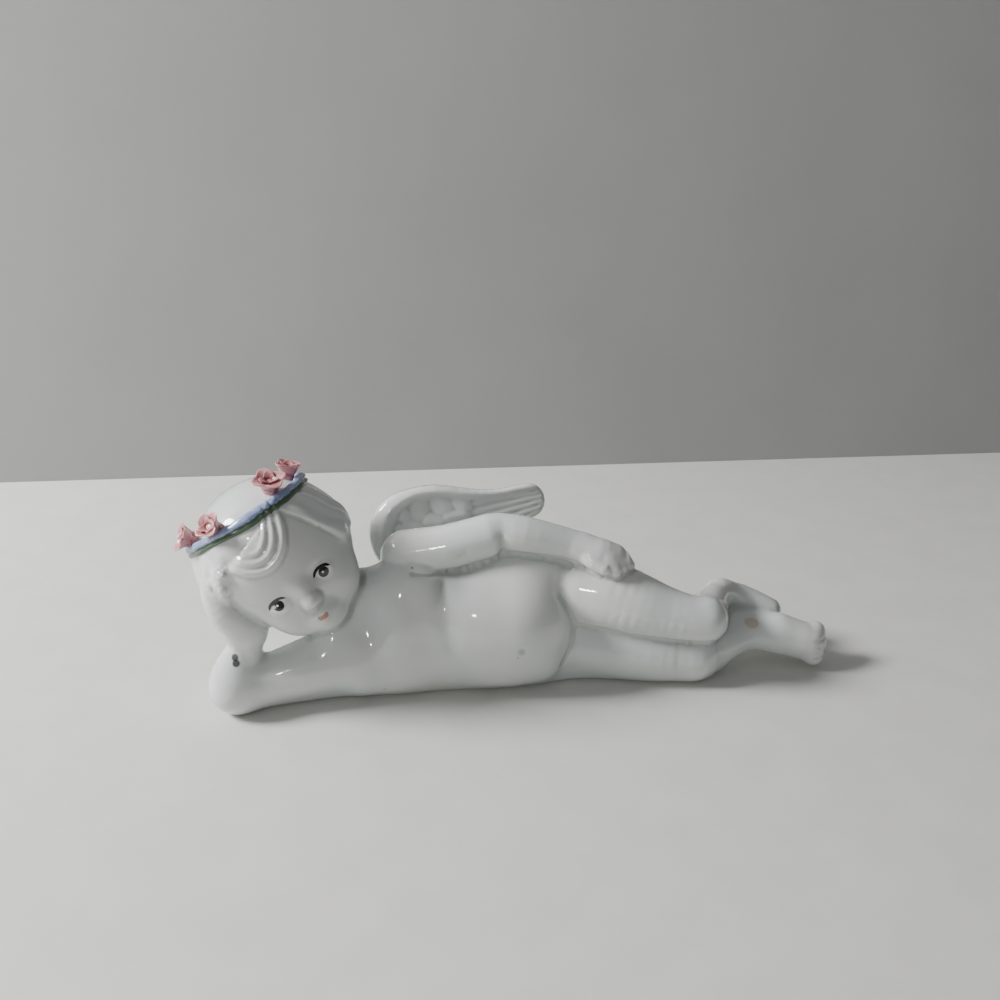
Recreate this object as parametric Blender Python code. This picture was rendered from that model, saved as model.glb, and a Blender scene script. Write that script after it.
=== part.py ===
"""Reclining winged cherub in glazed slip-cast porcelain, with a garland on its hair.

The cherub lies along X on its right side, with its feet at +X and its face and belly
towards -Y. It props its head on the right hand and rests the left hand on the thigh.
The body, limbs, hair and wings are one casting. The garland is a clay strip laid round
the head, with four hand-made roses pressed on beside it.

Each piece is a distance field worked out from named forms. A blob of primitives is
remeshed and drawn onto that field, so the skin follows every form and every size.
"""
import math

import bmesh
import bpy
import numpy as np
from mathutils import Matrix, Vector

# Driving sizes of the finished piece, in metres.
FIGURE_LENGTH = 0.2140
BAND_WIDTH = 0.0034
BAND_THICKNESS = 0.0020
ROSE_DIAMETER = 0.0102
ROSE_HEIGHT = 0.0072
PETAL_THICKNESS = 0.0012
TOUCH_GAP = 0.0004

# The figure is a free form. Its pose, its proportions and its carving are given in
# shares of its length, and a share of this piece is one millimetre.
LENGTH_IN_SHARES = 214.0
SHARE = FIGURE_LENGTH / LENGTH_IN_SHARES

# Where the head sits, and how it leans on the hand and turns to the front, in degrees.
HEAD_CENTRE = (-84.3, 0.0, 46.7)
HEAD_LEAN = 37.5
HEAD_TURN = 21.0
HEAD_NOD = 1.5

# Relief of the hair and the feathers, in shares.
HAIR_THICKNESS = 0.9
LOCK_SPACING = 2.9
LOCK_HEIGHT = 0.6
CURL_CENTRE = (-2.0, 14.6)
CURL_RADIUS = 10.2
CURL_TAIL = 3.0
TEMPLE_CURLS = ((-14.2, 16.6, 12.0), (-16.9, 15.9, 8.4), (-18.8, 12.6, 10.8),
                (-19.8, 11.8, 6.4), (-21.2, 8.2, 9.0), (-21.0, 8.8, 2.8))
FEATHER_HEIGHT = 0.9
VANISHING_PLACE = (75.0, 13.0)
VANE_ANGLE = 0.056

# The garland's plane in head directions: its height over the head's centre, and its
# slopes towards the head's right and towards the face.
BAND_HEIGHT = 17.0
BAND_SLOPES = (-0.17, 0.13)
BAND_AXIS = (0.5, -2.0)
PALM_PLANE = (-0.93, -0.37, 19.4)
TEMPLE_HEIGHT = 2.0

# Roses by bearing round the garland from the face, in degrees, and by their reach from
# the strip towards the crown, as a share of their own diameter.
ROSES = ((-25.0, 0.22), (-74.0, 0.26), (46.0, 0.36), (79.0, 0.36))
PETALS_PER_ROSE = 4

# Space that the casting is looked for in, in shares.
FIGURE_LOW = (-118.0, -32.0, -6.0)
FIGURE_HIGH = (112.0, 44.0, 84.0)

# Fineness of the skins, in shares, and triangles left on each piece.
SKIN_VOXEL = 1.35
ROSE_VOXEL = 0.34
FIELD_STEP = 0.05
SEAT_STEP = 0.6
FIGURE_TRIANGLES = 7100
ROSE_TRIANGLES = 520
BAND_SECTIONS = 64

CLEAR_GLAZE = ("white glaze", (0.80, 0.80, 0.77, 1.0), 0.15)
BLUE_GLAZE = ("blue ribbon glaze", (0.27, 0.33, 0.55, 1.0), 0.18)
ROSE_GLAZE = ("rose glaze", (0.76, 0.36, 0.38, 1.0), 0.22)


def blend(first, second, width):
    """Join two distance fields with a fillet of the given width."""
    share = np.clip(0.5 + 0.5 * (second - first) / width, 0.0, 1.0)
    return second + (first - second) * share - width * share * (1.0 - share)


def carve(field, cutter, width):
    """Cut one distance field out of another, with softened edges."""
    return -blend(-field, cutter, width)


def ramp(value, start, end):
    """Rise smoothly from 0 at the start to 1 at the end."""
    share = np.clip((value - start) / (end - start), 0.0, 1.0)
    return share * share * (3.0 - 2.0 * share)


def ellipsoid(points, centre, radii):
    """Distance to an ellipsoid that lies square to the axes of the points."""
    radii = np.asarray(radii, dtype=float)
    offset = points - np.asarray(centre, dtype=float)
    inner = np.linalg.norm(offset / radii, axis=1)
    outer = np.linalg.norm(offset / radii**2, axis=1) + 1e-9
    return inner * (inner - 1.0) / outer


def limb(points, start, end):
    """Distance to one tapered length between two stations of a place and a radius."""
    start = np.asarray(start, dtype=float)
    end = np.asarray(end, dtype=float)
    axis = end[:-1] - start[:-1]
    along = np.clip((points - start[:-1]) @ axis / (axis @ axis), 0.0, 1.0)
    nearest = start[:-1] + along[:, None] * axis
    radius = start[-1] + along * (end[-1] - start[-1])
    return np.linalg.norm(points - nearest, axis=1) - radius


def eased(stations, steps):
    """Stations of a smooth curve through given ones, a number of steps to each length."""
    rows = np.asarray(stations, dtype=float)
    padded = np.concatenate((2.0 * rows[:1] - rows[1:2], rows, 2.0 * rows[-1:] - rows[-2:-1]))
    t = np.arange(steps)[:, None] / steps
    runs = []
    for before, start, end, after in zip(padded, padded[1:], padded[2:], padded[3:]):
        square = 2.0 * before - 5.0 * start + 4.0 * end - after
        cube = 3.0 * start - before - 3.0 * end + after
        runs.append(start + 0.5 * ((end - before) * t + square * t**2 + cube * t**3))
    return np.concatenate(runs + [rows[-1:]])


def chain(points, stations):
    """Distance to a limb that runs smoothly through several stations."""
    course = eased(stations, 3)
    field = limb(points, course[0], course[1])
    for start, end in zip(course[1:], course[2:]):
        field = np.minimum(field, limb(points, start, end))
    return field


def ridge(value, spacing):
    """Rounded ridges from 0 in the grooves to 1 on the crests, one to each spacing."""
    return 0.5 - 0.5 * np.cos(2.0 * math.pi * value / spacing)


def crease(points, course, depth):
    """What to add to a field for a fold pressed into the front along a course."""
    flat = points[:, (0, 2)]
    away = np.full(len(flat), 99.0)
    for first, last in zip(np.asarray(course), np.asarray(course)[1:]):
        axis = last[:2] - first[:2]
        along = np.clip((flat - first[:2]) @ axis / (axis @ axis), 0.0, 1.0)
        reach = np.linalg.norm(flat - first[:2] - along[:, None] * axis, axis=1)
        away = np.minimum(away, reach / (first[2] + along * (last[2] - first[2])))
    return depth * np.exp(-away * away) * (1.0 - ramp(points[:, 1], 0.0, 4.0))


def turned_axes(lean, turn, nod):
    """Columns right, face and up of a head that leans sideways, turns and nods."""
    lean, turn, nod = (math.radians(angle) for angle in (lean, turn, nod))
    about_y = np.array(((math.cos(lean), 0.0, -math.sin(lean)),
                        (0.0, 1.0, 0.0),
                        (math.sin(lean), 0.0, math.cos(lean))))
    about_z = np.array(((math.cos(turn), -math.sin(turn), 0.0),
                        (math.sin(turn), math.cos(turn), 0.0),
                        (0.0, 0.0, 1.0)))
    about_x = np.array(((1.0, 0.0, 0.0),
                        (0.0, math.cos(nod), -math.sin(nod)),
                        (0.0, math.sin(nod), math.cos(nod))))
    return about_y @ about_z @ about_x @ np.diag((1.0, -1.0, 1.0))


def plane_axes(along, up):
    """Columns along, up and normal of a flat form, made square to each other."""
    along = np.asarray(along, dtype=float)
    along = along / np.linalg.norm(along)
    up = np.asarray(up, dtype=float)
    up = up - along * (up @ along)
    up = up / np.linalg.norm(up)
    return np.stack((along, up, np.cross(along, up)), 1)


HEAD_AXES = turned_axes(HEAD_LEAN, HEAD_TURN, HEAD_NOD)


def to_head(points):
    """Places in the head's own right, face and up directions."""
    return (points - np.asarray(HEAD_CENTRE)) @ HEAD_AXES


def from_head(local):
    """Places in the figure's directions."""
    return np.asarray(HEAD_CENTRE) + local @ HEAD_AXES.T


def skull(local):
    """Head without relief, in its own right, face and up directions."""
    field = ellipsoid(local, (0.5, -2.0, 3.0), (24.0, 25.2, 22.5))
    field = blend(field, ellipsoid(local, (10.0, 3.0, -2.5), (14.6, 15.0, 13.0)), 5.0)
    field = blend(field, ellipsoid(local, (0.2, 5.0, -8.5), (17.0, 17.0, 16.2)), 7.0)
    field = blend(field, ellipsoid(local, (8.2, 10.6, -13.4), (9.3, 9.6, 9.4)), 4.0)
    field = blend(field, ellipsoid(local, (-7.6, 10.6, -12.8), (8.6, 9.4, 9.0)), 4.0)
    field = blend(field, ellipsoid(local, (0.2, 13.6, -19.6), (6.4, 7.4, 6.0)), 4.5)
    right, up, reach = PALM_PLANE
    pressed = right * local[:, 0] + up * local[:, 2] - reach
    return -blend(-field, -pressed, 4.0)


def face(local, field):
    """Give the skull a calm child's face: sockets, lids, nose and closed lips."""
    for side in (-1.0, 1.0):
        socket = ellipsoid(local, (8.0 * side, 25.8, -6.4), (4.8, 3.4, 3.0))
        field = carve(field, socket, 3.0)
        ball = ellipsoid(local, (8.0 * side, 18.1, -6.7), (3.8, 4.1, 2.8))
        field = blend(field, ball, 1.2)
        nostril = ellipsoid(local, (2.1 * side - 0.6, 22.2, -11.7), (1.3, 1.8, 1.2))
        field = blend(field, nostril, 1.0)
    field = blend(field, ellipsoid(local, (-0.3, 21.4, -6.8), (1.8, 3.0, 4.2)), 3.5)
    field = blend(field, ellipsoid(local, (-0.8, 23.2, -10.6), (2.5, 3.0, 2.3)), 1.8)
    field = blend(field, ellipsoid(local, (-1.0, 17.6, -17.6), (4.8, 5.0, 4.2)), 3.0)
    field = blend(field, ellipsoid(local, (-1.4, 21.2, -16.2), (2.8, 1.9, 0.9)), 0.8)
    return blend(field, ellipsoid(local, (-1.3, 20.8, -18.8), (2.2, 1.9, 1.1)), 0.8)


def hair(local):
    """Height of the hair over the skull: a cap, locks, temple curls and a forelock."""
    right, front, up = local[:, 0], local[:, 1] - BAND_AXIS[1], local[:, 2]
    bearing = np.arctan2(right, front)
    aside = np.abs(bearing + 0.06)
    left_drop = 14.0 * ramp(aside, 0.40, 0.95) + 16.0 * ramp(aside, 1.3, 1.9)
    right_drop = 21.5 * ramp(aside, 0.54, 0.94) + 8.0 * ramp(aside, 1.2, 3.0)
    hairline = 14.5 - np.where(bearing < -0.06, left_drop, right_drop)
    cap = HAIR_THICKNESS * ramp(up - hairline, -2.2, 2.6)
    for curl in TEMPLE_CURLS:
        away = np.linalg.norm(local - np.asarray(curl), axis=1)
        cap = cap + TEMPLE_HEIGHT * np.exp(-(away / 2.2) ** 2) * (0.65 + 0.35 * ridge(away, 1.7))
    flow = 20.0 * aside + 0.29 * up + 0.8 * np.sin(0.4 * up)
    locks = ridge(flow - 14.2, 1.9 * LOCK_SPACING)
    sides = ramp(flow, 14.0, 15.5) * (1.0 - ramp(flow, 26.0, 32.0)) * (1.0 - ramp(up, 13.0, 17.0))
    strands, disc = forelock(right, front, up)
    cap = np.maximum(cap, HAIR_THICKNESS * disc)
    relief = ramp(cap, 0.3, 0.8) * (1.0 - disc) * sides * locks + disc * strands
    return cap + LOCK_HEIGHT * relief


def forelock(right, front, up):
    """Strands and extent of the curl that sweeps from the garland over the forehead."""
    offset = right - CURL_CENTRE[0]
    drop = CURL_CENTRE[1] - up
    reach = np.hypot(offset, drop)
    swing = np.arctan2(drop, offset)
    tail = CURL_TAIL * np.exp(-np.clip(swing, -0.6, None) / 0.5)
    inside = CURL_RADIUS + tail - reach
    strands = ridge(inside, LOCK_SPACING) * ramp(reach, 1.5, 3.5)
    strands = strands * (1.0 - ramp(inside, 8.0, 11.0))
    extent = ramp(inside, -0.4, 0.5) * ramp(swing, -0.5, -0.1) * (1.0 - ramp(swing, 2.7, 3.1))
    return strands, extent * ramp(front, 12.0, 16.0)


def head(points):
    """Head with face and hair, in the figure's directions."""
    local = to_head(points)
    return face(local, skull(local)) - hair(local)


# Courses of the body in shares: stations of place and radius for the limbs, and of x, z
# and half width for the folds of the front.
UNDERSIDE = ((-97.0, -12.0, 4.0, 5.2), (-60.0, -5.0, 4.0, 7.0),
             (-10.0, -1.0, 5.0, 10.0), (20.0, 0.0, 5.0, 9.0),
             (52.0, -7.0, 4.0, 6.0), (62.0, -5.0, 4.0, 4.6))
FLANK = ((-58.0, -8.0, 9.4, 9.0), (-46.0, -7.2, 9.4, 9.4),
         (-36.0, -5.4, 9.6, 9.4), (-26.0, -5.6, 10.0, 9.4),
         (-12.0, -6.8, 10.5, 10.0), (0.0, -6.0, 9.8, 9.0))
NAVEL = (-6.6, -21.2, 19.8)
BELLY_FOLD = ((5.2, 35.5, 0.5), (7.7, 31.5, 0.9), (9.9, 27.5, 1.1),
              (12.0, 22.4, 1.2), (11.2, 17.0, 1.1), (7.5, 9.0, 0.7))
LEG_LINE = ((12.3, 22.4, 0.9), (24.0, 21.0, 1.0), (34.1, 19.2, 1.0),
            (43.3, 17.6, 1.0), (51.0, 16.8, 1.0), (56.5, 17.8, 0.8))
ARM_LINE = ((-41.0, 42.6, 0.6), (-35.0, 41.2, 0.9), (-26.4, 40.8, 1.0),
            (-16.0, 43.2, 1.0), (-11.6, 46.0, 0.9))
ELBOW_FOLD = ((-11.4, 46.5, 1.2), (-11.6, 50.0, 1.3), (-12.0, 53.0, 0.8))
FOREARM_LINE = ((-9.0, 47.0, 0.8), (2.2, 45.6, 0.9), (12.7, 43.6, 0.8),
                (18.6, 40.6, 0.6))
CHEST_FOLD = ((-31.6, 38.0, 2.2), (-31.0, 30.0, 3.0), (-30.0, 20.0, 2.2))
ARM_DIMPLE = ((-25.6, 47.6, 0.6), (-23.4, 48.6, 0.8))
FINGER_LINES = (((22.6, 43.6, 0.3), (23.7, 40.2, 0.5)),
                ((26.4, 44.0, 0.3), (27.7, 40.2, 0.4)),
                ((28.5, 44.0, 0.3), (29.9, 40.4, 0.4)))
FINGER_COUNT = 4
TOE_COUNT = 5


def torso(points):
    """Distance to chest, belly, hips, neck and the flank that lies on the table."""
    field = ellipsoid(points, (-42.0, 0.0, 22.5), (19.0, 15.0, 23.5))
    field = blend(field, ellipsoid(points, (-20.0, -3.2, 21.0), (17.0, 15.8, 18.6)), 7.0)
    field = blend(field, ellipsoid(points, (-7.6, -3.5, 21.5), (20.6, 16.8, 18.6)), 4.0)
    field = blend(field, ellipsoid(points, (-6.0, 4.0, 32.0), (22.0, 12.0, 14.0)), 6.0)
    field = blend(field, ellipsoid(points, (12.0, 6.0, 19.5), (17.0, 14.0, 18.0)), 3.0)
    field = blend(field, limb(points, (-54.0, 2.5, 27.0, 9.0), (-68.0, 2.0, 35.0, 8.0)), 8.0)
    field = blend(field, chain(points, FLANK), 6.0)
    field = blend(field, limb(points, (-50.0, -3.0, 22.0, 13.0), (-66.0, -6.0, 20.5, 8.6)), 6.0)
    field = blend(field, chain(points, UNDERSIDE), 3.0)
    hollow = ellipsoid(points, (-56.5, -19.0, 35.0), (8.0, 9.0, 14.0))
    field = carve(field, hollow, 5.0)
    return carve(field, ellipsoid(points, NAVEL, (1.2, 2.4, 1.0)), 1.0)


def folds(points):
    """Depth of the folds of belly, legs and arm over the whole figure."""
    depth = crease(points, BELLY_FOLD, 0.9) + crease(points, LEG_LINE, 0.5)
    depth = depth + crease(points, ARM_LINE, 0.8) + crease(points, ELBOW_FOLD, 1.0)
    depth = depth + crease(points, FOREARM_LINE, 0.4)
    depth = depth + crease(points, CHEST_FOLD, 0.8) + crease(points, ARM_DIMPLE, 0.4)
    for line in FINGER_LINES:
        depth = depth + crease(points, line, 0.5)
    for toe in range(1, TOE_COUNT):
        height = 3.2 + 2.1 * toe
        depth = depth + crease(points, ((95.5, height, 0.3), (103.0, height + 0.3, 0.4)), 0.4)
    return depth


def right_arm(points):
    """Distance to the arm that props the head, its palm along the skull's side."""
    upper = ((-60.0, -7.0, 12.5, 10.4), (-70.0, -8.4, 12.6, 10.2), (-80.0, -10.8, 11.2, 9.0),
             (-88.0, -12.5, 9.8, 8.2), (-97.5, -14.4, 8.8, 8.8))
    lower = ((-98.0, -14.4, 9.2, 8.8), (-97.6, -14.0, 13.5, 7.7), (-96.0, -13.4, 18.0, 6.4),
             (-94.0, -13.2, 24.0, 5.4), (-93.4, -13.8, 29.0, 6.3))
    palm = ((-93.4, -13.8, 29.0, 6.3), (-95.0, -14.8, 32.5, 6.6), (-98.2, -15.8, 37.0, 5.9),
            (-100.6, -15.2, 41.5, 4.8), (-101.8, -13.6, 45.0, 3.8))
    field = blend(chain(points, upper), chain(points, lower), 3.0)
    field = blend(field, chain(points, palm), 3.0)
    local = to_head(points)
    for finger in range(FINGER_COUNT):
        knuckle = (-21.6, 6.0 - 4.6 * finger, -9.0 + 0.5 * finger, 2.6)
        tip = (-23.2, 5.0 - 4.8 * finger, 2.0 - 1.2 * finger, 2.1)
        field = blend(field, limb(local, knuckle, tip), 1.0)
    return field


def left_arm(points):
    """Distance to the arm along the side, with its hand at rest on the thigh."""
    upper = ((-43.0, 4.0, 44.2, 8.4), (-29.0, 2.2, 47.2, 7.6), (-15.6, 2.2, 50.8, 7.3))
    lower = ((-12.0, 2.6, 51.8, 6.4), (-4.0, 1.0, 51.2, 6.2), (7.6, 0.0, 48.6, 5.5),
             (15.0, -1.0, 46.8, 5.0))
    palm = ((14.5, -1.4, 46.4, 4.9), (20.0, -2.8, 45.2, 5.4), (25.0, -3.2, 43.6, 5.0))
    field = blend(chain(points, upper), chain(points, lower), 1.2)
    field = blend(field, chain(points, palm), 2.0)
    thumb = limb(points, (16.6, -6.2, 44.4, 2.6), (21.2, -8.6, 42.4, 2.1))
    field = blend(field, thumb, 1.2)
    for finger in range(FINGER_COUNT):
        knuckle = (23.2 + 1.9 * finger, -6.0 + 2.0 * finger, 43.8 - 0.6 * finger, 2.8)
        tip = (25.0 + 1.9 * finger, -8.0 + 2.1 * finger, 41.4 - 0.5 * finger, 2.3)
        field = blend(field, limb(points, knuckle, tip), 1.8)
    return field


def left_leg(points):
    """Distance to the upper leg: knee forward, foot tucked behind the other ankle."""
    thigh = ((16.0, 1.0, 30.0, 12.0), (24.0, -1.5, 28.8, 12.3), (33.0, -5.2, 27.0, 10.9),
             (41.0, -8.0, 25.4, 9.2), (50.0, -10.6, 24.0, 7.8), (55.5, -11.2, 23.4, 7.4))
    calf = ((55.5, -10.4, 23.4, 7.2), (62.0, 2.0, 22.6, 6.0), (68.0, 10.0, 21.8, 4.6))
    foot = ((67.0, 10.0, 22.0, 4.6), (76.0, 12.0, 18.8, 4.6), (86.0, 9.0, 14.8, 4.2))
    field = blend(chain(points, thigh), chain(points, calf), 2.0)
    return blend(field, chain(points, foot), 3.0)


def right_leg(points):
    """Distance to the lower leg, on the table, with instep to the front and five toes."""
    thigh = ((14.0, 0.4, 12.6, 12.3), (33.0, -5.2, 10.2, 10.8), (44.0, -7.2, 9.4, 9.9),
             (53.0, -8.7, 8.8, 8.3))
    shin = ((53.0, -8.7, 8.8, 8.3), (62.0, -6.0, 9.8, 6.6), (74.0, -1.5, 11.4, 5.8),
            (85.0, -1.5, 11.2, 6.6))
    foot = ((85.0, -1.5, 11.2, 6.6), (91.0, -3.2, 9.8, 6.8), (95.0, -4.4, 9.0, 6.2))
    web = ((64.0, 3.0, 12.0, 6.0), (80.0, 5.0, 11.0, 6.0))
    field = blend(chain(points, thigh), chain(points, shin), 3.0)
    field = blend(field, chain(points, foot), 3.0)
    field = blend(field, limb(points, (96.8, -7.0, 4.6, 3.2), (98.8, -2.6, 12.4, 2.9)), 3.0)
    return blend(field, chain(points, web), 4.0)


WING_OUTLINE = ((-0.5, -0.5, 15.1), (7.0, 1.0, 14.5), (20.0, 2.2, 10.9), (30.0, 4.4, 8.0),
                (40.0, 7.4, 6.2))
WING_BAR = ((-11.5, -6.0, 4.6), (-11.0, 2.0, 4.8), (-7.0, 9.0, 4.2),
            (1.0, 12.9, 3.0), (8.5, 13.3, 2.8), (17.0, 11.8, 2.6),
            (27.0, 11.2, 2.4), (37.0, 12.2, 2.0), (44.0, 12.6, 1.8))
WING_COVERTS = ((-9.0, 6.0, -7.5, 3.0, 3.3), (-4.2, 10.5, -3.3, 6.0, 3.2),
                (2.0, 10.5, 1.7, 6.2, 4.2), (9.0, 10.5, 10.4, 7.8, 4.5),
                (15.6, 9.6, 17.0, 8.0, 3.7), (-7.0, 2.0, -4.0, 0.0, 3.4),
                (-1.6, 2.8, 1.0, 1.2, 3.6), (5.0, 3.6, 8.6, 2.8, 3.4),
                (11.5, 4.2, 17.2, 5.0, 2.7), (12.0, 0.4, 17.4, 1.2, 2.8),
                (0.0, -3.5, 7.0, -3.4, 2.8), (9.0, -3.6, 15.0, -2.6, 2.4))


def crowned(flat):
    """Height of the round-backed coverts: two ends and a half width for each."""
    height = np.zeros(len(flat))
    for start_x, start_y, end_x, end_y, width in WING_COVERTS:
        inside = -limb(flat, (start_x, start_y, width), (end_x, end_y, width)) / width
        inside = np.clip(inside, 0.0, 1.0)
        height = np.maximum(height, inside * (2.0 - inside))
    return height


def wing(points, centre, axes):
    """Wing with a rounded leading bar, round-backed coverts and long flight feathers."""
    local = (points - np.asarray(centre)) @ axes
    flat = local[:, :2]
    outline = chain(flat, WING_OUTLINE)
    bar = chain(flat, WING_BAR)
    feathers = FEATHER_HEIGHT * crowned(flat)
    depth = np.clip(-bar, 0.0, 5.0)
    rail = depth * (1.0 - 0.09 * depth) * (1.0 - 0.7 * ramp(flat[:, 0], 8.0, 32.0))
    half = 2.6 - 0.022 * flat[:, 0] + np.maximum(rail, feathers)
    offset = flat - np.asarray(VANISHING_PLACE)
    fan = np.arctan2(offset[:, 1], -offset[:, 0])
    grooves = 1.0 - ridge(fan, VANE_ANGLE)
    flight = ramp(flat[:, 0], 17.0, 21.0) * (1.0 - ramp(feathers, 0.0, 0.4))
    half = half - 0.35 * flight * grooves * (1.0 - ramp(depth, 0.2, 1.2))
    return -blend(-outline, half - np.abs(local[:, 2]), 1.6)


LEFT_WING_AXES = plane_axes((1.0, 0.05, 0.03), (0.0, 0.28, 1.0))
RIGHT_WING_AXES = plane_axes((1.0, 0.10, 0.0), (0.0, 0.90, -0.42))
LEFT_WING_CENTRE = (-40.0, 19.0, 46.0)
RIGHT_WING_CENTRE = (-40.0, 19.5, 12.5)


def figure(points):
    """The whole casting, cut off level where it lies on the table."""
    field = torso(points)
    field = blend(field, right_leg(points), 3.0)
    field = blend(field, left_leg(points), 2.0)
    field = blend(field, right_arm(points), 4.0)
    field = blend(field, left_arm(points), 1.2)
    field = field + folds(points)
    field = blend(field, wing(points, LEFT_WING_CENTRE, LEFT_WING_AXES), 2.5)
    field = blend(field, wing(points, RIGHT_WING_CENTRE, RIGHT_WING_AXES), 2.5)
    return blend(field, head(points), 1.6)


def gradient(field, points, step):
    """A distance field at each point, and the direction that leads outwards there."""
    here = field(points)
    slope = np.stack([field(points + axis) - here for axis in np.eye(3) * step], 1)
    return here, slope / (np.linalg.norm(slope, axis=1, keepdims=True) + 1e-12)


def drawn_onto(field, points, level, steps):
    """Move points along the field until they lie at a level of it."""
    for _ in range(steps):
        here, outward = gradient(field, points, FIELD_STEP)
        points = points - np.clip(here - level, -1.0, 1.0)[:, None] * outward
    return points


def band_seat(bearings, lift):
    """Points on the hair at a lift over the garland's plane, by bearing from the face."""
    directions = np.stack((np.sin(bearings), np.cos(bearings), np.zeros_like(bearings)), 1)
    middle = np.array((BAND_AXIS[0], BAND_AXIS[1], 0.0))
    low = np.zeros_like(bearings)
    high = np.full_like(bearings, 30.0)
    for _ in range(24):
        reach = 0.5 * (low + high)
        local = middle + reach[:, None] * directions
        local[:, 2] = BAND_HEIGHT + lift + local[:, :2] @ np.asarray(BAND_SLOPES)
        inside = head(from_head(local)) < 0.0
        low = np.where(inside, reach, low)
        high = np.where(inside, high, reach)
    return from_head(local)


def band_rings():
    """Corner points of the clay strip, section by section round the head."""
    bearings = np.arange(BAND_SECTIONS) * 2.0 * math.pi / BAND_SECTIONS
    seat = band_seat(bearings, 0.0)
    outward = gradient(head, seat, SEAT_STEP)[1]
    along = np.roll(seat, -1, axis=0) - np.roll(seat, 1, axis=0)
    across = np.cross(outward, along)
    across = across / np.linalg.norm(across, axis=1, keepdims=True)
    half = 0.5 * BAND_WIDTH / SHARE
    thick = BAND_THICKNESS / SHARE
    gap = TOUCH_GAP / SHARE
    rings = []
    for sideways, lift in ((-1.0, 0.0), (-1.0, 0.6), (-0.6, 1.0), (0.6, 1.0), (1.0, 0.6), (1.0, 0.0)):
        foot = drawn_onto(head, seat + sideways * half * across, gap, 4)
        rings.append(foot + lift * thick * outward)
    return np.stack(rings, 1)


def band_field(points, rings):
    """Distance to the strip, read from the nearest of its sections."""
    middle = rings.mean(axis=1)
    nearest = np.linalg.norm(points[:, None, :] - middle[None, :, :], axis=2).argmin(axis=1)
    along = (np.roll(middle, -1, axis=0) - np.roll(middle, 1, axis=0))[nearest]
    along = along / np.linalg.norm(along, axis=1, keepdims=True)
    across = (rings[:, 5] - rings[:, 0])[nearest]
    across = across / np.linalg.norm(across, axis=1, keepdims=True)
    offset = points - middle[nearest]
    outward = np.cross(along, across)
    beyond = np.stack((np.abs((offset * across).sum(1)) - 0.5 * BAND_WIDTH / SHARE,
                       np.abs((offset * outward).sum(1)) - 0.6 * BAND_THICKNESS / SHARE), 1)
    return np.linalg.norm(np.maximum(beyond, 0.0), axis=1) + np.minimum(beyond.max(axis=1), 0.0)


def rose_axes(place):
    """Columns across, along and outward of a rose pressed on at a place."""
    outward = gradient(head, place[None, :], SEAT_STEP)[1][0]
    across = np.cross(HEAD_AXES[:, 2], outward)
    across = across / np.linalg.norm(across)
    return np.stack((across, np.cross(outward, across), outward), 1)


def petal(local, bearing, tilt):
    """One round clay petal that leans out from the bud at a bearing."""
    half = 0.5 * ROSE_DIAMETER / SHARE
    height = ROSE_HEIGHT / SHARE
    spin = np.array(((math.cos(bearing), -math.sin(bearing), 0.0),
                     (math.sin(bearing), math.cos(bearing), 0.0),
                     (0.0, 0.0, 1.0)))
    lean = np.array(((math.cos(tilt), 0.0, math.sin(tilt)),
                     (0.0, 1.0, 0.0),
                     (-math.sin(tilt), 0.0, math.cos(tilt))))
    frame = spin @ lean
    centre = spin @ np.array((0.54 * half, 0.0, 0.52 * height))
    radii = (0.5 * PETAL_THICKNESS / SHARE, 0.62 * half, 0.5 * height)
    return ellipsoid((local - centre) @ frame, (0.0, 0.0, 0.0), radii)


def rose(points, place, axes, first_bearing, rings):
    """Rose of a bud and leaning petals, hollowed where it sits on hair and strip."""
    local = (points - place) @ axes
    half = 0.5 * ROSE_DIAMETER / SHARE
    height = ROSE_HEIGHT / SHARE
    field = ellipsoid(local, (0.0, 0.0, 0.55 * height), (0.36 * half, 0.36 * half, 0.5 * height))
    base = ellipsoid(local, (0.0, 0.0, 0.16 * height), (0.76 * half, 0.76 * half, 0.5 * height))
    field = blend(field, base, 0.8)
    for index in range(PETALS_PER_ROSE):
        bearing = first_bearing + 2.0 * math.pi * index / PETALS_PER_ROSE
        field = blend(field, petal(local, bearing, 0.55 + 0.12 * (index % 2)), 0.3)
    gap = TOUCH_GAP / SHARE
    field = np.maximum(field, gap - head(points))
    return np.maximum(field, gap - band_field(points, rings))


def blocks(field, low, high, cell):
    """Closed shell of the grid cells whose middles lie inside a field."""
    counts = np.ceil((np.asarray(high) - np.asarray(low)) / cell).astype(int) + 2
    axes = [low[axis] + cell * (np.arange(counts[axis]) - 0.5) for axis in range(3)]
    grid = np.stack(np.meshgrid(*axes, indexing="ij"), -1).reshape(-1, 3)
    inside = np.zeros(counts, dtype=bool)
    inside.ravel()[:] = np.concatenate([field(part) < 0.0 for part in np.array_split(grid, 40)])
    inside[0], inside[-1] = False, False
    inside[:, 0], inside[:, -1] = False, False
    inside[:, :, 0], inside[:, :, -1] = False, False
    corners = []
    for axis in range(3):
        unit = np.eye(3, dtype=int)
        first, second = unit[(axis + 1) % 3], unit[(axis + 2) % 3]
        after = np.roll(inside, -1, axis=axis)
        for cells, flip in ((np.argwhere(inside & ~after), False), (np.argwhere(~inside & after), True)):
            base = cells + unit[axis]
            quad = np.stack((base, base + first, base + first + second, base + second), 1)
            corners.append(quad[:, ::-1] if flip else quad)
    corners = np.concatenate(corners).reshape(-1, 3)
    keys, index = np.unique(corners, axis=0, return_inverse=True)
    places = np.asarray(low) + cell * (keys - 1.0)
    return places, index.reshape(-1, 4)


def applied(piece):
    """Bake the modifiers of an object into its mesh."""
    graph = bpy.context.evaluated_depsgraph_get()
    mesh = bpy.data.meshes.new_from_object(piece.evaluated_get(graph))
    piece.modifiers.clear()
    piece.data = mesh


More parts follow.
